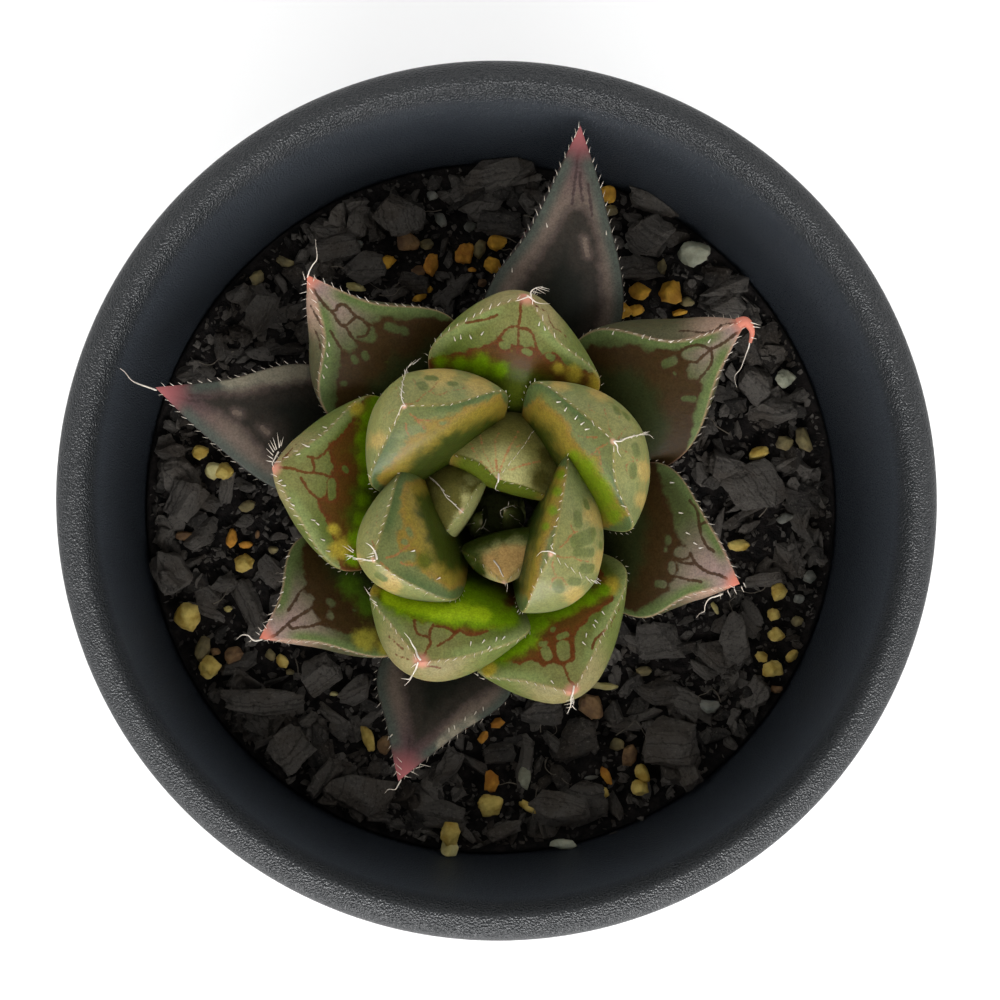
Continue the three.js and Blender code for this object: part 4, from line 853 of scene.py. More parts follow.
def stem_material():
    g = material_graph("stem_skin")
    color = g.mix(g.noise(0.8), "#5f6a34", "#8d9350")
    color = g.mix(g.step(g.noise(2.5, 4.0, 0.7), 0.5, 0.7, 0.0, 0.6), color, "#5b4a30")
    g.bump(g.noise(3.0, 4.0), 0.2)
    return g.finish(color, 0.6)


# The dark and the light colour of each kind of grit.
GRIT_COLOURS = {
    "yellow": ("#a8842c", "#dfc268"), "gold": ("#b07818", "#e6aa30"),
    "cream": ("#b4a25c", "#d8cb8c"), "orange": ("#b06c18", "#e09c34"),
    "tan": ("#5a4e32", "#8c7c50"), "brown": ("#5a3e26", "#906c44"),
    "grey": ("#504e46", "#828076"), "white": ("#8a8872", "#b4b29a"),
}

# Colours of each group of leaves: the window near the tip and further in, the pale band along
# the margins, the veins, the blotch, the green flesh towards the base (painted darker, painted
# shade), the flush of ochre, the painted light of bright green seen through the flesh and of
# glowing patches, the painted shade, the backs near the tip and far from it, their cream ground,
# and the tip.
LEAF_LOOKS = {
    "low": dict(far="#3b3533", window="#483437", inner="#62564d", band="#434841", vein="#3b302f",
                blotch="#2d2924", shaded_flesh="#1b1c17", painted_lit_green="#2a2a25", ochre="#3a342c", back="#271f1d",
                ground="#271f1d", tip="#8f5455", painted_glow="#7c7666", shade="#1b1c17"),
    "outer": dict(far="#4c4a34", window="#826e67", inner="#404726", band="#515e35", vein="#352313",
                  blotch="#332511", shaded_flesh="#2a2f17", painted_lit_green="#415912", ochre="#7f782a",
                  back="#8d7565", ground="#b68d79", tip="#b8705e", painted_glow="#415912", shade="#263312"),
    "middle": dict(far="#5c6434", window="#65653a", inner="#49551f", band="#6c7645", vein="#532b13",
                   blotch="#4a3110", shaded_flesh="#424c0e", painted_lit_green="#5c7a06", ochre="#938229",
                   back="#78704b", ground="#8c7254", tip="#a87462", painted_glow="#8ea812",
                   shade="#383f0c"),
    "inner": dict(far="#676c42", window="#5b6037", inner="#555b2e", band="#43512b", vein="#7d5530",
                  blotch="#6e5f20", shaded_flesh="#2c340a", painted_lit_green="#5b6d0d", ochre="#424605",
                  back="#6e6e40", ground="#907e49", tip="#b8917a", painted_glow="#5b6d0d", shade="#27330e"),
    # The heart's ground is a dark olive: partly the backs' own dusky patches, partly painted shade on the
    # deep leaves.
    "heart": dict(far="#75723c", window="#8a8a58", inner="#52542a", band="#70723e", vein="#b0744c",
                  blotch="#6a6224", shaded_flesh="#4c5614", painted_lit_green="#5c6420", ochre="#a48450",
                  back="#a5a26c", ground="#545024", tip="#c09c80", painted_glow="#5c6420", shade="#333e12"),
    "bud": dict(far="#565c30", window="#565c30", inner="#4a5028", band="#565c30", vein="#565030",
                blotch="#4a5028", shaded_flesh="#4a5424", painted_lit_green="#4a5028", ochre="#565030", back="#565c30",
                ground="#4a5028", tip="#8c8468", painted_glow="#4a5028", shade="#3c4420"),
}
# Where the tip's colour fades, the half width of a vein and where the blotch turns to the green flesh,
# painted darker towards the base as painted shade.
LEAF_REACH = {
    "low": ((0.6, 3.8), (0.08, 0.2), (0.9, 2.6)), "outer": ((0.4, 1.8), (0.1, 0.2), (1.2, 3.0)),
    "middle": ((0.25, 1.2), (0.1, 0.19), (0.9, 2.4)), "inner": ((0.05, 0.45), (0.06, 0.15), (0.7, 2.0)),
    "heart": ((0.1, 0.5), (0.06, 0.18), (0.4, 1.4)), "bud": ((0.1, 0.5), (0.04, 0.1), (0.4, 1.4)),
}
# How much each group reflects.
LEAF_SHINE = {"low": 0.06, "outer": 0.05, "middle": 0.04, "inner": 0.1, "heart": 0.05, "bud": 0.05}
# How far the blotch's edge spreads, and how much of the vein's colour lines it.
BLOTCH_EDGE = {"low": (0.9, 0.5), "outer": (0.22, 0.7), "middle": (0.12, 0.8), "inner": (0.25, 0.25),
               "heart": (0.4, 0.2), "bud": (0.4, 0.2)}


def leaf_material(group):
    """The skin of one group of leaves, laid out by the values that paint gives each point."""
    look = LEAF_LOOKS[group]
    tip_reach, vein_reach, deep = LEAF_REACH[group]
    back_reach = (1.5, 5.5) if group == "heart" else (2.5, 7.0)
    g = material_graph(f"leaf_{group}")
    drift = g.math("MULTIPLY", g.math("SUBTRACT", g.noise(1.3, 4.0), 0.5), 0.9)
    jitter = g.math("MULTIPLY", g.math("SUBTRACT", g.noise(3.2, 3.0), 0.5), 0.3)
    spread = g.math("MULTIPLY", g.math("SUBTRACT", g.noise(0.9, 5.0, 0.65), 0.5), 1.1)
    tip = g.attribute("tip_mm")
    margin = g.attribute("margin_mm")
    islands = g.math("ADD", g.attribute("islands"), g.math("ADD", jitter, g.math("MULTIPLY", drift, 0.3)))
    inside = g.math("ADD", g.attribute("blotch_mm"), g.math("ADD", drift, jitter))
    window = g.mix(g.step(tip, 2.0, 8.5), look["window"], look["inner"])
    band = g.mix(g.step(margin, 0.4, 1.8), look["band"], window)
    window = g.mix(g.step(tip, 1.5, 4.0), window, band)
    blur, lining = BLOTCH_EDGE[group]
    dark = g.mix(g.step(inside, 0.05, 0.6, lining, 0.0), look["blotch"], look["vein"])
    # Painted shade: deeper in, the blotch turns to the darker green flesh of the base, partly its own deep
    # green.
    dark = g.mix(g.step(g.math("ADD", inside, spread), *deep), dark, look["shaded_flesh"])
    top = g.mix(g.step(inside, -blur, 0.8 * blur), window, dark)
    ground = g.step(g.math("ADD", g.attribute("ground"), spread), 0.15, 0.85)
    ground = g.math("MULTIPLY", ground, g.step(islands, -0.18, 0.12, 1.0, 0.0))
    back = g.mix(ground, g.mix(g.step(tip, *back_reach), look["back"], look["far"]), look["ground"])
    back = g.mix(g.step(islands, -0.12, 0.12), back, look["inner"])
    color = g.mix(g.step(margin, -0.15, 0.1), back, top)
    # Ochre is the leaf's own colour; the bright green lit through the flesh and the glowing patches are
    # painted light, and the shade is painted shade.
    for key in ("ochre", "painted_lit_green", "painted_glow", "shade"):
        color = g.mix(g.step(g.math("ADD", g.attribute(key), spread), 0.15, 0.9), color, look[key])
    inland = g.math("MULTIPLY", g.step(islands, -0.05, 0.1), g.step(margin, -0.1, 0.1))
    color = g.mix(inland, color, window)
    vein = g.math("ADD", g.attribute("vein_mm"), jitter)
    color = g.mix(g.step(vein, *vein_reach, 0.9, 0.0), color, look["vein"])
    # Painted highlight: a thin line of the ground colour along each margin.
    edge = g.step(g.math("ABSOLUTE", margin), 0.05, 0.3, 0.3, 0.0)
    color = g.mix(edge, color, look["ground"])
    pores = g.noise(5.5, 3.0, 0.65)
    mottle = g.math("ADD", g.step(pores, 0.3, 0.7, 0.2, 0.5), g.step(g.noise(1.6, 4.0), 0.3, 0.7, 0.05, 0.2))
    color = g.mix(0.6, color, mottle, "OVERLAY")
    color = g.mix(g.step(tip, *tip_reach), look["tip"], color)
    g.bump(g.math("ADD", pores, g.math("MULTIPLY", g.noise(1.0), 2.0)), 0.02)
    return g.finish(color, g.step(pores, 0.3, 0.7, 0.34, 0.46), Specular_IOR_Level=LEAF_SHINE[group],
                    Subsurface_Weight=0.1, Subsurface_Scale=0.0015)


# ---- Pot --------------------------------------------------------------------------------------


def inner_radius(z):
    return MOUTH_RADIUS - POT_TAPER * (POT_HEIGHT - MOUTH_DEPTH - z)


def lip_arc(steps=12):
    """Up the broad outer round of the lip, then down its steeper inner shoulder to the mouth."""
    turns = [math.pi / 2 * i / steps for i in range(steps + 1)]
    outside = [(CREST_RADIUS + (POT_RADIUS - CREST_RADIUS) * math.cos(a),
                POT_HEIGHT - LIP_DROP * (1 - math.sin(a))) for a in turns]
    inside = [(CREST_RADIUS - (CREST_RADIUS - MOUTH_RADIUS) * math.sin(a),
               POT_HEIGHT - MOUTH_DEPTH * (1 - math.cos(a))) for a in turns[1:]]
    return outside + inside


def pot_profile():
    """Radius and height along the pot's section: from under the floor round the foot, up to the
    lip and down to the floor. The small offsets round its corners."""
    foot = inner_radius(0) + POT_WALL
    band_foot = POT_HEIGHT - BAND_HEIGHT
    band = inner_radius(band_foot) + POT_WALL
    return [
        (0, FOOT_HEIGHT), (foot - FOOT_WIDTH - 0.1, FOOT_HEIGHT), (foot - FOOT_WIDTH, FOOT_HEIGHT - 0.1),
        (foot - FOOT_WIDTH + 0.25, 0.1), (foot - FOOT_WIDTH + 0.35, 0), (foot - 0.4, 0),
        (foot - 0.1, 0.15), (foot, 0.5), (band, band_foot - 0.1), (band + 0.1, band_foot),
        (band + BAND_STEP - 0.2, band_foot + 0.35), (band + BAND_STEP, band_foot + 0.6),
        *lip_arc(),
        (inner_radius(FLOOR_TOP + 1), FLOOR_TOP + 1), (inner_radius(FLOOR_TOP) - 0.4, FLOOR_TOP + 0.25),
        (inner_radius(FLOOR_TOP) - 1, FLOOR_TOP), (0, FLOOR_TOP),
    ]


def lathe(name, profile, steps, material):
    """A closed solid of revolution; the profile starts and ends on the axis."""
    inner = profile[1:-1]
    turns = np.arange(steps) * 2 * math.pi / steps
    rings = [[(r * math.cos(a), r * math.sin(a), z) for r, z in inner] for a in turns]
    points = [p for ring in rings for p in ring]
    count = len(inner)
    first, last = len(points), len(points) + 1
    points += [(0, 0, profile[0][1]), (0, 0, profile[-1][1])]
    faces = []
    for i in range(steps):
        a, b = i * count, (i + 1) % steps * count
        faces.append((first, b, a))
        faces.append((last, a + count - 1, b + count - 1))
        faces += [(a + k, b + k, b + k + 1, a + k + 1) for k in range(count - 1)]
    return mesh_object(name, points, faces, material)


def cut(piece, cutter):
    """Takes the cutter's solids out of the piece."""
    modifier = piece.modifiers.new("cut", "BOOLEAN")
    modifier.operation = "DIFFERENCE"
    modifier.solver = "EXACT"
    modifier.object = cutter
    made = bpy.data.meshes.new_from_object(piece.evaluated_get(bpy.context.evaluated_depsgraph_get()))
    piece.modifiers.clear()
    piece.data = made
    bpy.data.objects.remove(cutter)


def drain_cutter(material):
    """The drain holes through the floor and the notches through the foot ring."""
    work = bmesh.new()
    places = [(0, 0, DRAIN_RADII[0])]
    for i in range(DRAIN_COUNT):
        a = 2 * math.pi * i / DRAIN_COUNT
        places.append((DRAIN_CIRCLE * math.cos(a), DRAIN_CIRCLE * math.sin(a), DRAIN_RADII[1]))
    for x, y, radius in places:
        bmesh.ops.create_cone(work, cap_ends=True, segments=48, radius1=radius * MM,
                              radius2=radius * MM, depth=FLOOR_TOP * 4 * MM,
                              matrix=Matrix.Translation((x * MM, y * MM, 0)))
    for i in range(NOTCH_COUNT):
        turn = Matrix.Rotation(2 * math.pi * (i + 0.5) / NOTCH_COUNT, 4, "Z")
        length = POT_RADIUS - DRAIN_CIRCLE
        middle = Matrix.Translation(((DRAIN_CIRCLE + POT_RADIUS) / 2 * MM, 0, 0))
        size = Matrix.Diagonal((length * MM, NOTCH_WIDTH * MM, FOOT_HEIGHT * MM, 1))
        bmesh.ops.create_cube(work, size=1, matrix=turn @ middle @ size)
    mesh = bpy.data.meshes.new("cutter")
    work.to_mesh(mesh)
    work.free()
    mesh.materials.append(material)
    cutter = bpy.data.objects.new("cutter", mesh)
    bpy.context.scene.collection.objects.link(cutter)
    return cutter


def soften_by_angle(piece, degrees):
    """Smooth shading, but for edges sharper than the angle."""
    mesh = piece.data
    mesh.polygons.foreach_set("use_smooth", [True] * len(mesh.polygons))
    work = bmesh.new()
    work.from_mesh(mesh)
    limit = math.radians(degrees)
    for edge in work.edges:
        edge.smooth = edge.calc_face_angle(0.0) < limit
    work.to_mesh(mesh)
    work.free()


def make_pot():
    material = pot_material()
    pot = lathe("pot_shell", pot_profile(), POT_STEPS, material)
    cut(pot, drain_cutter(material))
    soften_by_angle(pot, 40)
    stands_for(pot, "pot")


# ---- Potting mix ------------------------------------------------------------------------------


def ground(x, y):
    """Height of the loose surface of the mix."""
    big = noise.noise(Vector((x * SWELL_PITCH, y * SWELL_PITCH, 3.0)))
    small = noise.fractal(Vector((x * CRUMBLE_PITCH, y * CRUMBLE_PITCH, 7.0)), 0.8, 2.0, 4)
    return SOIL_TOP + SWELL * big + CRUMBLE * small


def make_mix():
    """A block whose top is the crumbled surface."""
    rings, steps = SOIL_RINGS, SOIL_STEPS
    edge = inner_radius(SOIL_TOP) - SEAT_GAP
    foot = FLOOR_TOP + SEAT_GAP
    points = [(0, 0, ground(0, 0))]
    for k in range(1, rings + 1):
        r = edge * k / rings
        for i in range(steps):
            a = 2 * math.pi * i / steps
            x, y = r * math.cos(a), r * math.sin(a)
            points.append((x, y, ground(x, y) if k < rings else SOIL_TOP - 0.2))
    foot_radius = inner_radius(foot) - 1.3
    for i in range(steps):
        a = 2 * math.pi * i / steps
        points.append((foot_radius * math.cos(a), foot_radius * math.sin(a), foot))
    points.append((0, 0, foot))
    faces = [(0, 1 + i, 1 + (i + 1) % steps) for i in range(steps)]
    for k in range(rings):
        a, b = 1 + k * steps, 1 + (k + 1) * steps
        faces += [(a + i, b + i, b + (i + 1) % steps, a + (i + 1) % steps) for i in range(steps)]
    last = 1 + rings * steps
    faces += [(last + i, len(points) - 1, last + (i + 1) % steps) for i in range(steps)]
    mix = mesh_object("crumbled_mix", points, faces, mix_material())
    stands_for(mix, "potting_mix")


# ---- Loose pieces -----------------------------------------------------------------------------

# Share and pitch of the dents in a lump, from broad to fine.
DENTS = ((0.14, 1.7), (0.07, 5.0), (0.04, 11.0))


def rock_blank(seed, corners, angular, cuts, boxy=0.0):
    """Points and faces of one rough lump inside the unit ball, or squarer when boxy."""
    random = np.random.default_rng(seed)
    work = bmesh.new()
    for _ in range(corners):
        d = random.normal(size=3)
        d /= np.linalg.norm(d)
        work.verts.new(d * random.uniform(angular, 1.0) * np.abs(d).max() ** -boxy)
    hull = bmesh.ops.convex_hull(work, input=work.verts)
    spare = [v for v in hull["geom_interior"] if isinstance(v, bmesh.types.BMVert)]
    bmesh.ops.delete(work, geom=spare, context="VERTS")
    if cuts:
        bmesh.ops.subdivide_edges(work, edges=work.edges, cuts=cuts, use_grid_fill=True)
    bmesh.ops.triangulate(work, faces=work.faces)
    points = np.array([v.co[:] for v in work.verts])
    shift = sum(share * np.array([noise.noise(Vector(p * pitch) + Vector((seed, 0, 0))) for p in points])
                for share, pitch in DENTS)
    points *= (1 + shift)[:, None]
    work.verts.index_update()
    faces = [[v.index for v in f.verts] for f in work.faces]
    work.free()
    return points, faces


def rotation(turn, lean, roll):
    return np.array((Matrix.Rotation(turn, 3, "Z") @ Matrix.Rotation(lean, 3, "X")
                     @ Matrix.Rotation(roll, 3, "Y")))


def join_lumps(lumps):
    """One set of points and faces from several."""
    points, faces, start = [], [], 0
    for lump_points, lump_faces in lumps:
        points.append(lump_points)
        faces += [[corner + start for corner in face] for face in lump_faces]
        start += len(lump_points)
    return np.concatenate(points), faces


def box_of(node):
    """The low and the high corner of a CAD piece, in millimetres."""
    return (np.array(corner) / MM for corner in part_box(node))


def lump_in_box(blank, low, high, turn):
    """The blank stretched into a CAD piece's box, turned as that piece is."""
    points, faces = blank
    spun = points @ rotation(turn, 0, 0).T
    return spun / np.abs(spun).max(0) * ((high - low) / 2) + (high + low) / 2, faces


CHIP_BLANKS = [rock_blank(20 + k, 18, 0.8, 5, 0.9) for k in range(12)]
BIT_BLANKS = [rock_blank(30 + k, 12, 0.75, 2, 0.8) for k in range(10)]
CRUMB_BLANKS = [rock_blank(40 + k, 12, 0.75, 1, 0.5) for k in range(8)]
DUST_BLANKS = [rock_blank(50 + k, 10, 0.7, 0, 0.3) for k in range(8)]
GRAIN_BLANKS = [rock_blank(60 + k, 26, 0.88, 3) for k in range(8)]


def set_values(piece, name, values):
    """One number for each point, which the material reads by name."""
    attribute = piece.data.attributes.new(name, "FLOAT", "POINT")
    attribute.data.foreach_set("value", np.asarray(values, np.float32))


def across(points, turn):
    """How far each point lies across a lump that is turned by this much."""
    return points[:, 1] * math.cos(turn) - points[:, 0] * math.sin(turn) + 0.6 * points[:, 2]


def make_named_lumps(prefix, blanks, material, back_material=None):
    """Rough lumps for the named pieces; those behind the plant may have a colour of their own."""
    names = sorted(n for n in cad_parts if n.startswith(prefix))
    for k, node in enumerate(names):
        low, high = box_of(node)
        turn = 0.7 * k
        points, faces = lump_in_box(blanks[k % len(blanks)], low, high, turn)
        behind = back_material and low[1] > BACK_OF_PLANT
        piece = mesh_object(node.replace(prefix, prefix + "_rough"), points, faces,
                            back_material if behind else material, smooth=prefix != "charcoal_chip")
        set_values(piece, "tone", np.full(len(points), 0.45))
        set_values(piece, "across", across(points, turn))
        stands_for(piece, node)


def laid_lump(blank, place, size, turn, lift):
    """A lump of this length, width and height, laid on the mix and pressed in by the wall."""
    points, faces = blank
    lean, roll = RANDOM.uniform(-0.25, 0.25, 2)
    centre = np.array([*place, ground(*place) + size[2] * lift])
    sized = points / np.abs(points).max(0) * np.array(size) / 2
    laid = sized @ rotation(turn, lean, roll).T + centre
    room = (inner_radius(laid[:, 2]) - WALL_CLEARANCE) / np.linalg.norm(laid[:, :2], axis=1)
    laid[:, :2] *= np.minimum(room, 1)[:, None]
    return laid, faces


def scatter(count, size_low, size_high, blanks, inner, keep_clear):
    """Lumps strewn over the mix, or over its outer part beyond the share inner of its radius,
    clear of the wall, the stem and the listed grains."""
    lumps, tones, turns = [], [], []
    reach = inner_radius(SOIL_TOP) - 0.5
    while len(lumps) < count:
        a, r = RANDOM.uniform(0, 2 * math.pi), reach * math.sqrt(RANDOM.uniform(inner ** 2, 1))
        x, y = r * math.cos(a), r * math.sin(a)
        size = RANDOM.uniform(size_low, size_high)
        gap = np.hypot(keep_clear[:, 0] - x, keep_clear[:, 1] - y) - keep_clear[:, 2] - size * 0.4
        if r > reach - size * 0.45 or gap.min() < 0:
            continue
        shape = (size, size * RANDOM.uniform(0.35, 0.9), size * RANDOM.uniform(0.3, 0.6))
        blank = blanks[RANDOM.integers(len(blanks))]
        turns.append(RANDOM.uniform(0, 6.3))
        lumps.append(laid_lump(blank, (x, y), shape, turns[-1], 0.3))
        tones.append(RANDOM.uniform(0, 0.75))
    return lumps, tones, turns


def make_chips(name, material, lumps, tones, turns):
    """Many lumps as one loose piece, each with its own tone and streaks."""
    points, faces = join_lumps(lumps)
    piece = mesh_object(name, points, faces, material, smooth=False)
    counts = [len(lump[0]) for lump in lumps]
    set_values(piece, "tone", np.repeat(tones, counts))
    streaks = [across(lump[0], turn) for lump, turn in zip(lumps, turns)]
    set_values(piece, "across", np.concatenate(streaks))
    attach(piece, "root")


def make_laid_chips(charcoal):
    """The loose chips that the table places one by one."""
    lumps, tones, turns = [], [], []
    for k, (x, y, length, width, degrees, tone) in enumerate(LOOSE_CHIPS):
        turns.append(math.radians(degrees))
        tones.append(tone)
        size = (length, width, min(CHIP_HEIGHT, 0.75 * width))
        lumps.append(laid_lump(CHIP_BLANKS[k % len(CHIP_BLANKS)], (x, y), size, turns[-1], 0.3))
    make_chips("laid_chips", charcoal, lumps, tones, turns)


# What is strewn over the mix: how many, smallest and largest size, shapes and, of the mix's
# radius, the share that is left free in the middle.
STREWN = {
    "scattered_chips": (780, 1.2, 3.6, BIT_BLANKS, 0.0),
    "edge_chips": (260, 1.6, 4.2, BIT_BLANKS, 0.86),
    "scattered_crumbs": (1800, 0.5, 1.3, CRUMB_BLANKS, 0.0),
    "fine_crumbs": (5000, 0.25, 0.7, DUST_BLANKS, 0.0),
}


def make_scattered(charcoal):
    """The chips and crumbs strewn around the stem and the grains."""
    clear = [(STEM_X, STEM_Y, 4.0)]
    clear += [(x, y, width * 0.45) for rows in GRIT.values() for x, y, length, width, turn in rows]
    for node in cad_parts:
        if "grain" in node:
            low, high = box_of(node)
            clear.append((*((low + high) / 2)[:2], (high - low)[:2].min() / 2))
    for name, strewn in STREWN.items():
        make_chips(name, charcoal, *scatter(*strewn, np.array(clear)))


def make_grit(materials):
    """The loose grains, one piece for each colour."""
    for colour, rows in GRIT.items():
        lumps = [laid_lump(GRAIN_BLANKS[k % len(GRAIN_BLANKS)], (x, y), (length, width, 0.85 * width),
                           math.radians(turn), 0.75)
                 for k, (x, y, length, width, turn) in enumerate(rows)]
        points, faces = join_lumps(lumps)
        piece = mesh_object(f"loose_{colour}_grit", points, faces, materials[colour])
        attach(piece, "root")


def make_fibres():
    """Fine root fibres that lie over the chips."""
    strands = []
    for _ in range(FIBRE_COUNT):
        a, r = RANDOM.uniform(0, 6.3), RANDOM.uniform(16, 30)
        x, y, heading = r * math.cos(a), r * math.sin(a), RANDOM.uniform(0, 6.3)
        path = []
        for _ in range(int(RANDOM.integers(4, 9))):
            path.append((x, y, ground(x, y) + RANDOM.uniform(0.5, 1.3)))
            heading += RANDOM.normal(0, 0.6)
            x, y = x + 0.8 * math.cos(heading), y + 0.8 * math.sin(heading)
        curve = curve_through(path, 4)
        keep = np.hypot(curve[:, 0], curve[:, 1]) < inner_radius(SOIL_TOP) - 0.5
        if keep.all():
            strands.append(tube(curve, np.linspace(0.06, 0.02, len(curve)), 5))
    g = material_graph("root_fibre")
    tint = g.mix(g.noise(1.0), "#4c443a", "#8a8070")
    piece = mesh_object("root_fibres", *join_lumps(strands), g.finish(tint, 0.7))
    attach(piece, "root")


def make_stem():
    """A short fleshy stem, ringed where old leaves grew."""
    low, high = box_of("stem")
    radius = (high - low)[:2].min() / 2 * 0.96
    middle = (low + high) / 2
    rows, steps = STEM_ROWS, STEM_STEPS
    points = []
    for k in range(rows):
        share = k / (rows - 1)
        z = low[2] + (high - low)[2] * share
        taper = min(0.6 + 0.9 * share, 1.0) * math.sqrt(max(1 - max(share - 0.8, 0) ** 2 / 0.052, 0.15))
        for i in range(steps):
            a = 2 * math.pi * i / steps
            rings = 0.05 * math.sin(42 * share + 3 * math.sin(a + 6 * share))
            rough = 0.05 * noise.noise(Vector((2 * math.cos(a), 2 * math.sin(a), z)))
            r = radius * taper * (0.92 + rings + rough)
            points.append((middle[0] + r * math.cos(a), middle[1] + r * math.sin(a), z))
    points += [(middle[0], middle[1], low[2]), (middle[0], middle[1], high[2])]
    faces = [(k * steps + i, k * steps + (i + 1) % steps, (k + 1) * steps + (i + 1) % steps,
              (k + 1) * steps + i) for k in range(rows - 1) for i in range(steps)]
    last = (rows - 1) * steps
    faces += [(rows * steps, (i + 1) % steps, i) for i in range(steps)]
    faces += [(rows * steps + 1, last + i, last + (i + 1) % steps) for i in range(steps)]
    stem = mesh_object("ringed_stem", points, faces, stem_material())
    stands_for(stem, "stem")


# ---- Leaves -----------------------------------------------------------------------------------


def spline(points, t):
    """A centripetal curve through the points, evenly parted between them."""
    p = np.asarray(points, float)
    p = np.vstack([2 * p[0] - p[1], p, 2 * p[-1] - p[-2]])
    place = np.clip(np.asarray(t) * (len(points) - 1), 0, len(points) - 1 - 1e-9)
    i = place.astype(int)
    w = (place - i)[:, None]
    p0, p1, p2, p3 = (p[i + k] for k in range(4))
    d0, d1, d2 = (np.sqrt(np.linalg.norm(b - a, axis=1))[:, None]
                  for a, b in ((p0, p1), (p1, p2), (p2, p3)))
    m1 = ((p1 - p0) / d0 - (p2 - p0) / (d0 + d1) + (p2 - p1) / d1) * d1
    m2 = ((p2 - p1) / d1 - (p3 - p1) / (d1 + d2) + (p3 - p2) / d2) * d1
    return p1 + m1 * w + (3 * (p2 - p1) - 2 * m1 - m2) * w ** 2 + (2 * (p1 - p2) + m1 + m2) * w ** 3


def ridges(leaf, t):
    """The left and right margins and the keel, at the shares t from base to tip."""
    u, height, width, depth = leaf["base"]
    starts = [(u, width / 2, height + depth / 2), (u, -width / 2, height + depth / 2),
              (u + depth / 2, 0, height - depth / 2)]
    sides = zip(starts, (leaf["left"], leaf["right"], leaf["keel"]))
    return [spline([start, *points, leaf["tip"]], t) for start, points in sides]


def face_points(a, b, centre, bulge, steps):
    """Rows of points across one face of the leaf, between two ridges."""
    chord = b - a
    length = np.linalg.norm(chord, axis=1, keepdims=True)
    outward = (a + b) / 2 - centre
    outward -= chord * (outward * chord).sum(1, keepdims=True) / np.maximum(length ** 2, 1e-9)
    outward = unit(outward)
    t = (np.arange(steps) / steps)[None, :, None]
    crown = bulge[:, None] * length[:, None] * (4 * t * (1 - t)) ** ROUNDNESS
    return a[:, None] + chord[:, None] * t + outward[:, None] * crown


def leaf_surface(leaf, stations, top_steps, back_steps):
    """The leaf's rings in its own frame, and for each point its way along the ring to a
    margin, above zero on the upper face."""
    t = np.linspace(0, 1, stations + 1)[:-1]
    left, right, keel = ridges(leaf, t)
    centre = (left + right + keel) / 3
    share = np.clip(t / BACK_FULL_AT, 0, 1)[:, None]
    back = BACK_BULGE * share ** 2 * (3 - 2 * share)
    rings = np.concatenate([
        face_points(left, keel, centre, back, back_steps),
        face_points(keel, right, centre, back, back_steps),
        face_points(right, left, centre, np.full_like(share, TOP_BULGE), top_steps)], axis=1)
    gaps = np.linalg.norm(np.roll(rings, -1, axis=1) - rings, axis=2)
    along = np.concatenate([np.zeros((len(rings), 1)), np.cumsum(gaps, axis=1)], axis=1)
    around, whole = along[:, :-1], along[:, -1:]
    keel_at, right_at = along[:, [back_steps]], along[:, [2 * back_steps]]
    index = np.arange(rings.shape[1])[None, :]
    to_margin = np.where(index < back_steps, -around, np.where(
        index < 2 * back_steps, around - right_at, np.minimum(around - right_at, whole - around)))
    near = np.minimum(np.abs(to_margin), np.abs(around - keel_at))
    blur = np.exp(-(near / RIDGE_SOFTNESS) ** 2)[..., None] * 0.5
    for _ in range(RIDGE_PASSES):
        middle = (np.roll(rings, 1, axis=1) + np.roll(rings, -1, axis=1)) / 2
        rings = rings + (middle - rings) * blur
    return rings, to_margin


def to_world(leaf, points):
    """Points of a leaf's own frame in the part's frame."""
    a = math.radians(leaf["turn"])
    u, v, h = points[..., 0], points[..., 1], points[..., 2]
    return np.stack([STEM_X + u * math.cos(a) - v * math.sin(a),
                     STEM_Y + u * math.sin(a) + v * math.cos(a), SOIL_TOP + h], axis=-1)


def ring_faces(stations, around):
    """Quads between the rings, a fan on the base and a fan at the tip."""
    k, i = np.meshgrid(np.arange(stations - 1), np.arange(around), indexing="ij")
    j = (i + 1) % around
    a, b = k * around, (k + 1) * around
    quads = np.stack([a + i, b + i, b + j, a + j], axis=-1).reshape(-1, 4)
    base, tip = stations * around, stations * around + 1
    last = (stations - 1) * around
    fans = [(last + n, tip, last + (n + 1) % around) for n in range(around)]
    fans += [(base, n, (n + 1) % around) for n in range(around)]
    return quads.tolist() + fans


def curve_through(points, steps=8):
    return spline(points, np.linspace(0, 1, steps * (len(points) - 1) + 1))


def nearest_distance(points, targets):
    """How far each point is from the nearest target."""
    best = np.full(len(points), 1e9)
    for target in targets:
        best = np.minimum(best, ((points - target) ** 2).sum(axis=1))
    return np.sqrt(best)


def lift_to_surface(surface, plan):
    """The points of the leaf that are seen from above at these places."""
    lifted = []
    for place in plan:
        gap = ((surface[:, :2] - place[:2]) ** 2).sum(axis=1)
        close = np.flatnonzero(gap < max(gap.min() + 0.01, 0.04))
        best = close[np.argmax(surface[close, 2])]
        lifted.append((*place[:2], surface[best, 2]))
    return np.array(lifted)


def signed_inside(points, outline):
    """Distance to a closed outline in plan, above zero inside it."""
    inside = np.zeros(len(points), bool)
    best = np.full(len(points), 1e9)
    for a, b in zip(outline, np.roll(outline, -1, axis=0)):
        edge = b - a
        share = np.clip(((points - a) @ edge) / max(edge @ edge, 1e-12), 0, 1)
        best = np.minimum(best, ((points - a - share[:, None] * edge) ** 2).sum(axis=1))
        crosses = (a[1] > points[:, 1]) != (b[1] > points[:, 1])
        rise = edge[1] if abs(edge[1]) > 1e-12 else 1e-12
        inside ^= crosses & (points[:, 0] < a[0] + (points[:, 1] - a[1]) * edge[0] / rise)
    return np.where(inside, 1, -1) * np.sqrt(best)


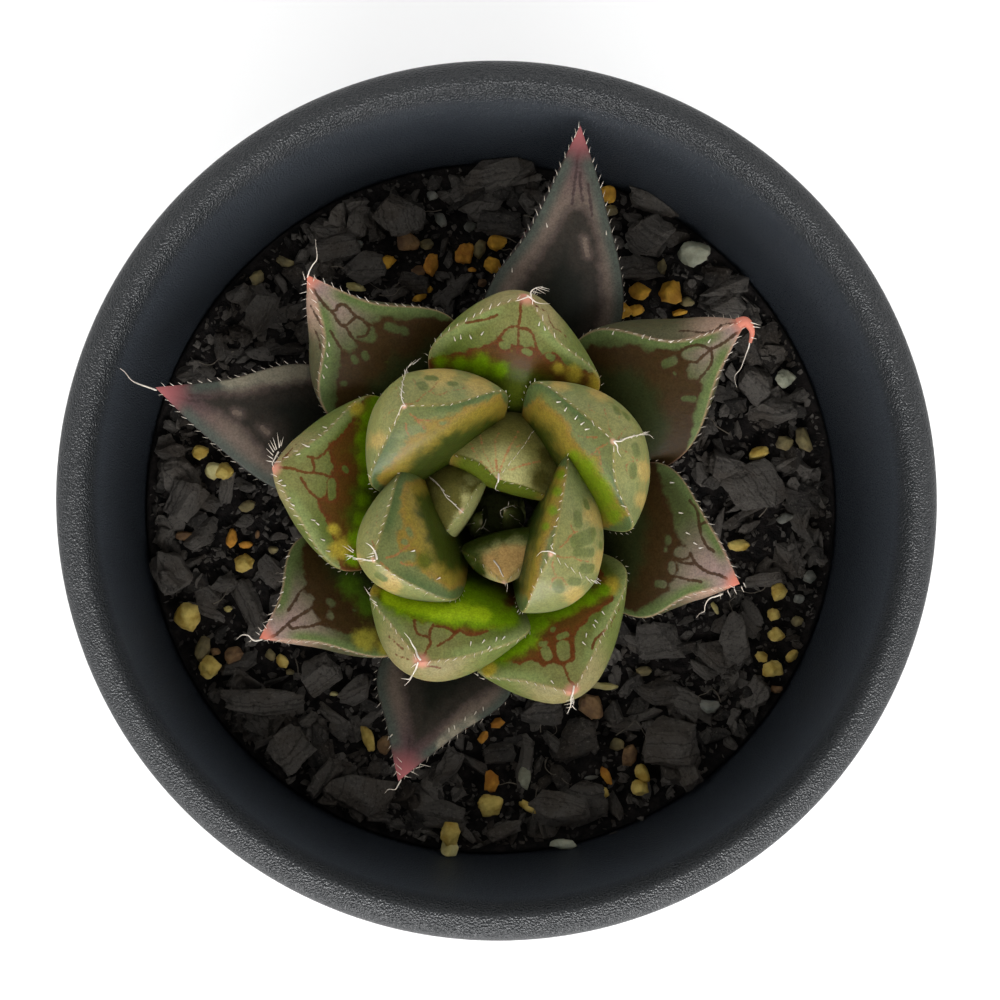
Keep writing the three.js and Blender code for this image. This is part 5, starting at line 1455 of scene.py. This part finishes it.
def soft_spots(points, spots):
    """How strongly soft round spots, each u, v and a reach, cover the points."""
    bare = np.ones(len(points))
    for u, v, reach in spots:
        gap = ((points[:, :2] - (u, v)) ** 2).sum(axis=1)
        bare *= 1 - np.exp(-gap / reach ** 2)
    return 1 - bare


def paint(leaf, marks, surface, to_margin):
    """The values that the leaf's material reads at each point of its surface."""
    values = {"tip_mm": np.linalg.norm(surface - np.array(leaf["tip"]), axis=1), "margin_mm": to_margin}
    inside = np.full(len(surface), -3.0)
    if "blotch" in marks:
        edge = curve_through(marks["blotch"], 5)
        outline = np.vstack([(-3, edge[0][1]), edge, (-3, edge[-1][1])])
        inside = signed_inside(surface[:, :2], outline)
    inside = np.where(to_margin < 0, np.minimum(inside, -0.6 * to_margin - 1.0), inside)
    islands = np.full(len(surface), -9.0)
    for start, end, reach in marks.get("islands", []):
        line = lift_to_surface(surface, np.linspace(start, end, 5))
        islands = np.maximum(islands, reach - nearest_distance(surface, line))
    values["islands"] = islands
    values["blotch_mm"] = np.minimum(inside, -islands)
    veins = [lift_to_surface(surface, curve_through(line)) for line in marks.get("veins", [])]
    values["vein_mm"] = np.full(len(surface), 9.0)
    if veins:
        values["vein_mm"] = nearest_distance(surface, np.vstack(veins))
    # Ground and ochre are the leaf's own colour; the bright green, the glowing patches and the shade are
    # painted light and painted shade.
    for key in ("ground", "ochre", "painted_lit_green", "painted_glow", "shade"):
        values[key] = soft_spots(surface, marks.get(key, []))
    return values


def tube(path, radii, sides=6):
    """A closed tapering tube along a path, with a rounded start and a pointed end."""
    path = np.asarray(path, float)
    along = unit(np.gradient(path, axis=0))
    side = unit(np.cross(along, (0.31, 0.53, 0.79)))
    up = np.cross(side, along)
    turns = 2 * np.pi * np.arange(sides) / sides
    spokes = np.cos(turns)[None, :, None] * side[:, None] + np.sin(turns)[None, :, None] * up[:, None]
    rings = path[:, None] + np.asarray(radii)[:, None, None] * spokes
    points = np.concatenate([rings.reshape(-1, 3), [path[0] - along[0] * radii[0] * 0.6], [path[-1]]])
    start, end = len(points) - 2, len(points) - 1
    faces = []
    for k in range(len(path) - 1):
        a, b = k * sides, (k + 1) * sides
        faces += [(a + i, a + (i + 1) % sides, b + (i + 1) % sides, b + i) for i in range(sides)]
    last = (len(path) - 1) * sides
    faces += [(start, (i + 1) % sides, i) for i in range(sides)]
    faces += [(end, last + i, last + (i + 1) % sides) for i in range(sides)]
    return points, faces


def tooth(root, direction, length, radius, bend):
    """One short translucent tooth, a little bent."""
    t = np.array([0.0, 0.3, 0.6, 0.85, 1.0])[:, None]
    path = root + direction * length * (t - 0.12) + bend * length * t ** 2
    return tube(path, radius * np.array([1.0, 0.85, 0.6, 0.35, 0.1]), 5)


def ridge_teeth(leaf, scale):
    """Teeth along both margins and the keel, larger towards the tip."""
    lines = ridges(leaf, np.linspace(0, 1, 400))
    centre = sum(lines) / 3
    made = []
    for line, on_keel in zip(lines, (False, False, True)):
        ahead = unit(np.gradient(line, axis=0))
        outward = line - centre
        outward = unit(outward - ahead * (outward * ahead).sum(1, keepdims=True))
        if on_keel:
            outward = unit(outward * (1, 1, 0.3))
        walked = np.concatenate([[0], np.cumsum(np.linalg.norm(np.diff(line, axis=0), axis=1))])
        lean = (0.8, -0.5) if on_keel else (0.5, 0.75)
        place = walked[-1] - TOOTHLESS_TIP
        while place > walked[-1] * TOOTHLESS_SHARE:
            k = int(np.searchsorted(walked, place))
            fade = min(1.0, (place / walked[-1] - 0.3) / 0.4) * scale
            length = RANDOM.uniform(*TOOTH_LENGTH) * fade
            direction = unit(outward[k] * lean[0] + ahead[k] * lean[1] + RANDOM.normal(0, 0.12, 3))
            radius = RANDOM.uniform(*TOOTH_RADIUS) * (0.6 + 0.4 * fade)
            made.append(tooth(line[k] + outward[k] * 0.02, direction, length, radius, -ahead[k] * 0.15))
            place -= RANDOM.uniform(*TOOTH_SPACING)
    return made


def hair(radius, points):
    """A pale thread through the points, thinner towards its end."""
    path = curve_through(points, 5)
    share = np.linspace(0, 1, len(path))
    return tube(path, 0.5 * radius * np.clip(1.15 - share, 0.12, 1.0), 7)


def hook(radius, points):
    """A leaf's own tip, drawn out and bent."""
    path = curve_through(points, 6)
    share = np.linspace(0, 1, len(path))
    return tube(path, radius * (1 - 0.75 * share ** 0.8), 14)


def stud(surface, place):
    """A short raised white point on a face."""
    top = lift_to_surface(surface, [place])[0]
    lean = unit(np.array([0.8, RANDOM.uniform(-0.5, 0.5), 0.25]))
    return tooth(top, lean, 0.42, 0.07, np.zeros(3))


def make_leaf(name, leaf, materials):
    """The leaf's skin, with its teeth, hairs and studs in a second material."""
    group = name.split("_")[1]
    marks = PAINT.get(name, {})
    fineness, tooth_scale = (0.5, 0.75) if group in ("bud", "heart") else (1.0, 1.0)
    stations, top, back = (int(n * fineness) for n in (LEAF_STATIONS, TOP_STEPS, BACK_STEPS))
    rings, to_margin = leaf_surface(leaf, stations, top, back)
    surface = rings.reshape(-1, 3)
    ends = [rings[0].mean(0), leaf["tip"]]
    skin = [(np.concatenate([surface, ends]), ring_faces(stations, rings.shape[1]))]
    skin += [hook(radius, line) for radius, line in marks.get("hooks", [])]
    growths = ridge_teeth(leaf, tooth_scale)
    growths += [hair(radius, line) for radius, line in marks.get("hairs", [])]
    growths += [stud(surface, place) for place in marks.get("studs", [])]
    points, faces = join_lumps(skin + growths)
    piece = mesh_object(name + "_skin", to_world(leaf, points), faces, materials[group])
    piece.data.materials.append(materials["teeth"])
    index = np.ones(len(faces), int)
    index[:sum(len(lump_faces) for lump_points, lump_faces in skin)] = 0
    piece.data.polygons.foreach_set("material_index", index)
    for key, column in paint(leaf, marks, surface, to_margin.ravel()).items():
        base_and_tip = [column[0], 0 if key == "tip_mm" else column[-1]]
        beyond = np.full(len(points) - len(column) - 2, -5.0 if key == "margin_mm" else 0.0)
        set_values(piece, key, np.concatenate([column, base_and_tip, beyond]))
    stands_for(piece, name)


def make_leaves():
    materials = {group: leaf_material(group) for group in LEAF_LOOKS}
    materials["teeth"] = hair_material()
    for name, leaf in LEAVES.items():
        make_leaf(name, leaf, materials)


# ---- Floor, light and camera ------------------------------------------------------------------


def make_floor():
    """A plain pale floor."""
    g = material_graph("pale_floor")
    corners = [(x * FLOOR_HALF, y * FLOOR_HALF, 0) for x, y in ((-1, -1), (1, -1), (1, 1), (-1, 1))]
    floor = mesh_object("floor", corners, [(0, 1, 2, 3)], g.finish("#fbfbfb", 0.9))


def make_light(name, place, size, power, on_matte=True):
    """A rectangular lamp that faces the plant; place and size are in metres, power in watts."""
    light = bpy.data.lights.new(name, "AREA")
    light.shape = "RECTANGLE"
    light.size, light.size_y = size
    light.energy = power
    lamp = bpy.data.objects.new(name, light)
    bpy.context.scene.collection.objects.link(lamp)
    lamp.location = place
    lamp.rotation_euler = (LIGHT_TARGET - Vector(place)).to_track_quat("-Z", "Y").to_euler()
    lamp.visible_diffuse = on_matte


def make_world():
    """A soft studio: bright around the sides and in front, dim straight above."""
    world = bpy.data.worlds.new("soft_room")
    bpy.context.scene.world = world
    g = Graph(world, "Background", "Generated", 1.0)
    _, y, z = g.axes()
    sides = g.math("MULTIPLY", g.step(z, 0.45, 0.88, 2.1, 0.22), g.step(y, -0.8, 0.8, 1.25, 0.75))
    g.feed(g.shader.inputs["Strength"], g.math("ADD", sides, g.step(z, 0.1, 0.4, 1.6, 0.0)))
    g.feed(g.shader.inputs["Color"], "#ffffff")
    make_light("key", place=(0.04, -0.55, 0.5), size=(0.6, 0.3), power=3)
    make_light("sheen", place=(-0.04, -0.62, 0.25), size=(0.8, 0.07), power=14, on_matte=False)
    bpy.context.scene.view_settings.view_transform = "Standard"


def make_camera():
    """The photograph's view, with the front of the plant at the bottom."""
    back = unit(VIEW_LEAN)
    right = unit(np.cross(-back, (0, 1, 0)))
    up = np.cross(right, -back)
    lens = bpy.data.cameras.new("camera")
    lens.lens = LENS
    lens.sensor_width = SENSOR_WIDTH
    lens.clip_start = 0.01
    camera = bpy.data.objects.new("camera", lens)
    bpy.context.scene.collection.objects.link(camera)
    place = Matrix(np.stack([right, up, back], axis=1).tolist()).to_4x4()
    place.translation = Vector((VIEW_TARGET + back * VIEW_DISTANCE) * MM)
    camera.matrix_world = place
    bpy.context.scene.camera = camera


# ---- Assembly ---------------------------------------------------------------------------------

make_camera()
make_world()
make_floor()
make_pot()
make_mix()
charcoal = charcoal_material()
grit_materials = {name: grit_material(f"{name}_grit", *pair) for name, pair in GRIT_COLOURS.items()}
make_named_lumps("charcoal_chip", CHIP_BLANKS, charcoal)
make_named_lumps("yellow_grain", GRAIN_BLANKS, grit_materials["yellow"],
                 grit_materials["gold"])
make_named_lumps("pale_grain", GRAIN_BLANKS, grit_materials["white"])
make_laid_chips(charcoal)
make_scattered(charcoal)
make_grit(grit_materials)
make_fibres()
make_stem()
make_leaves()
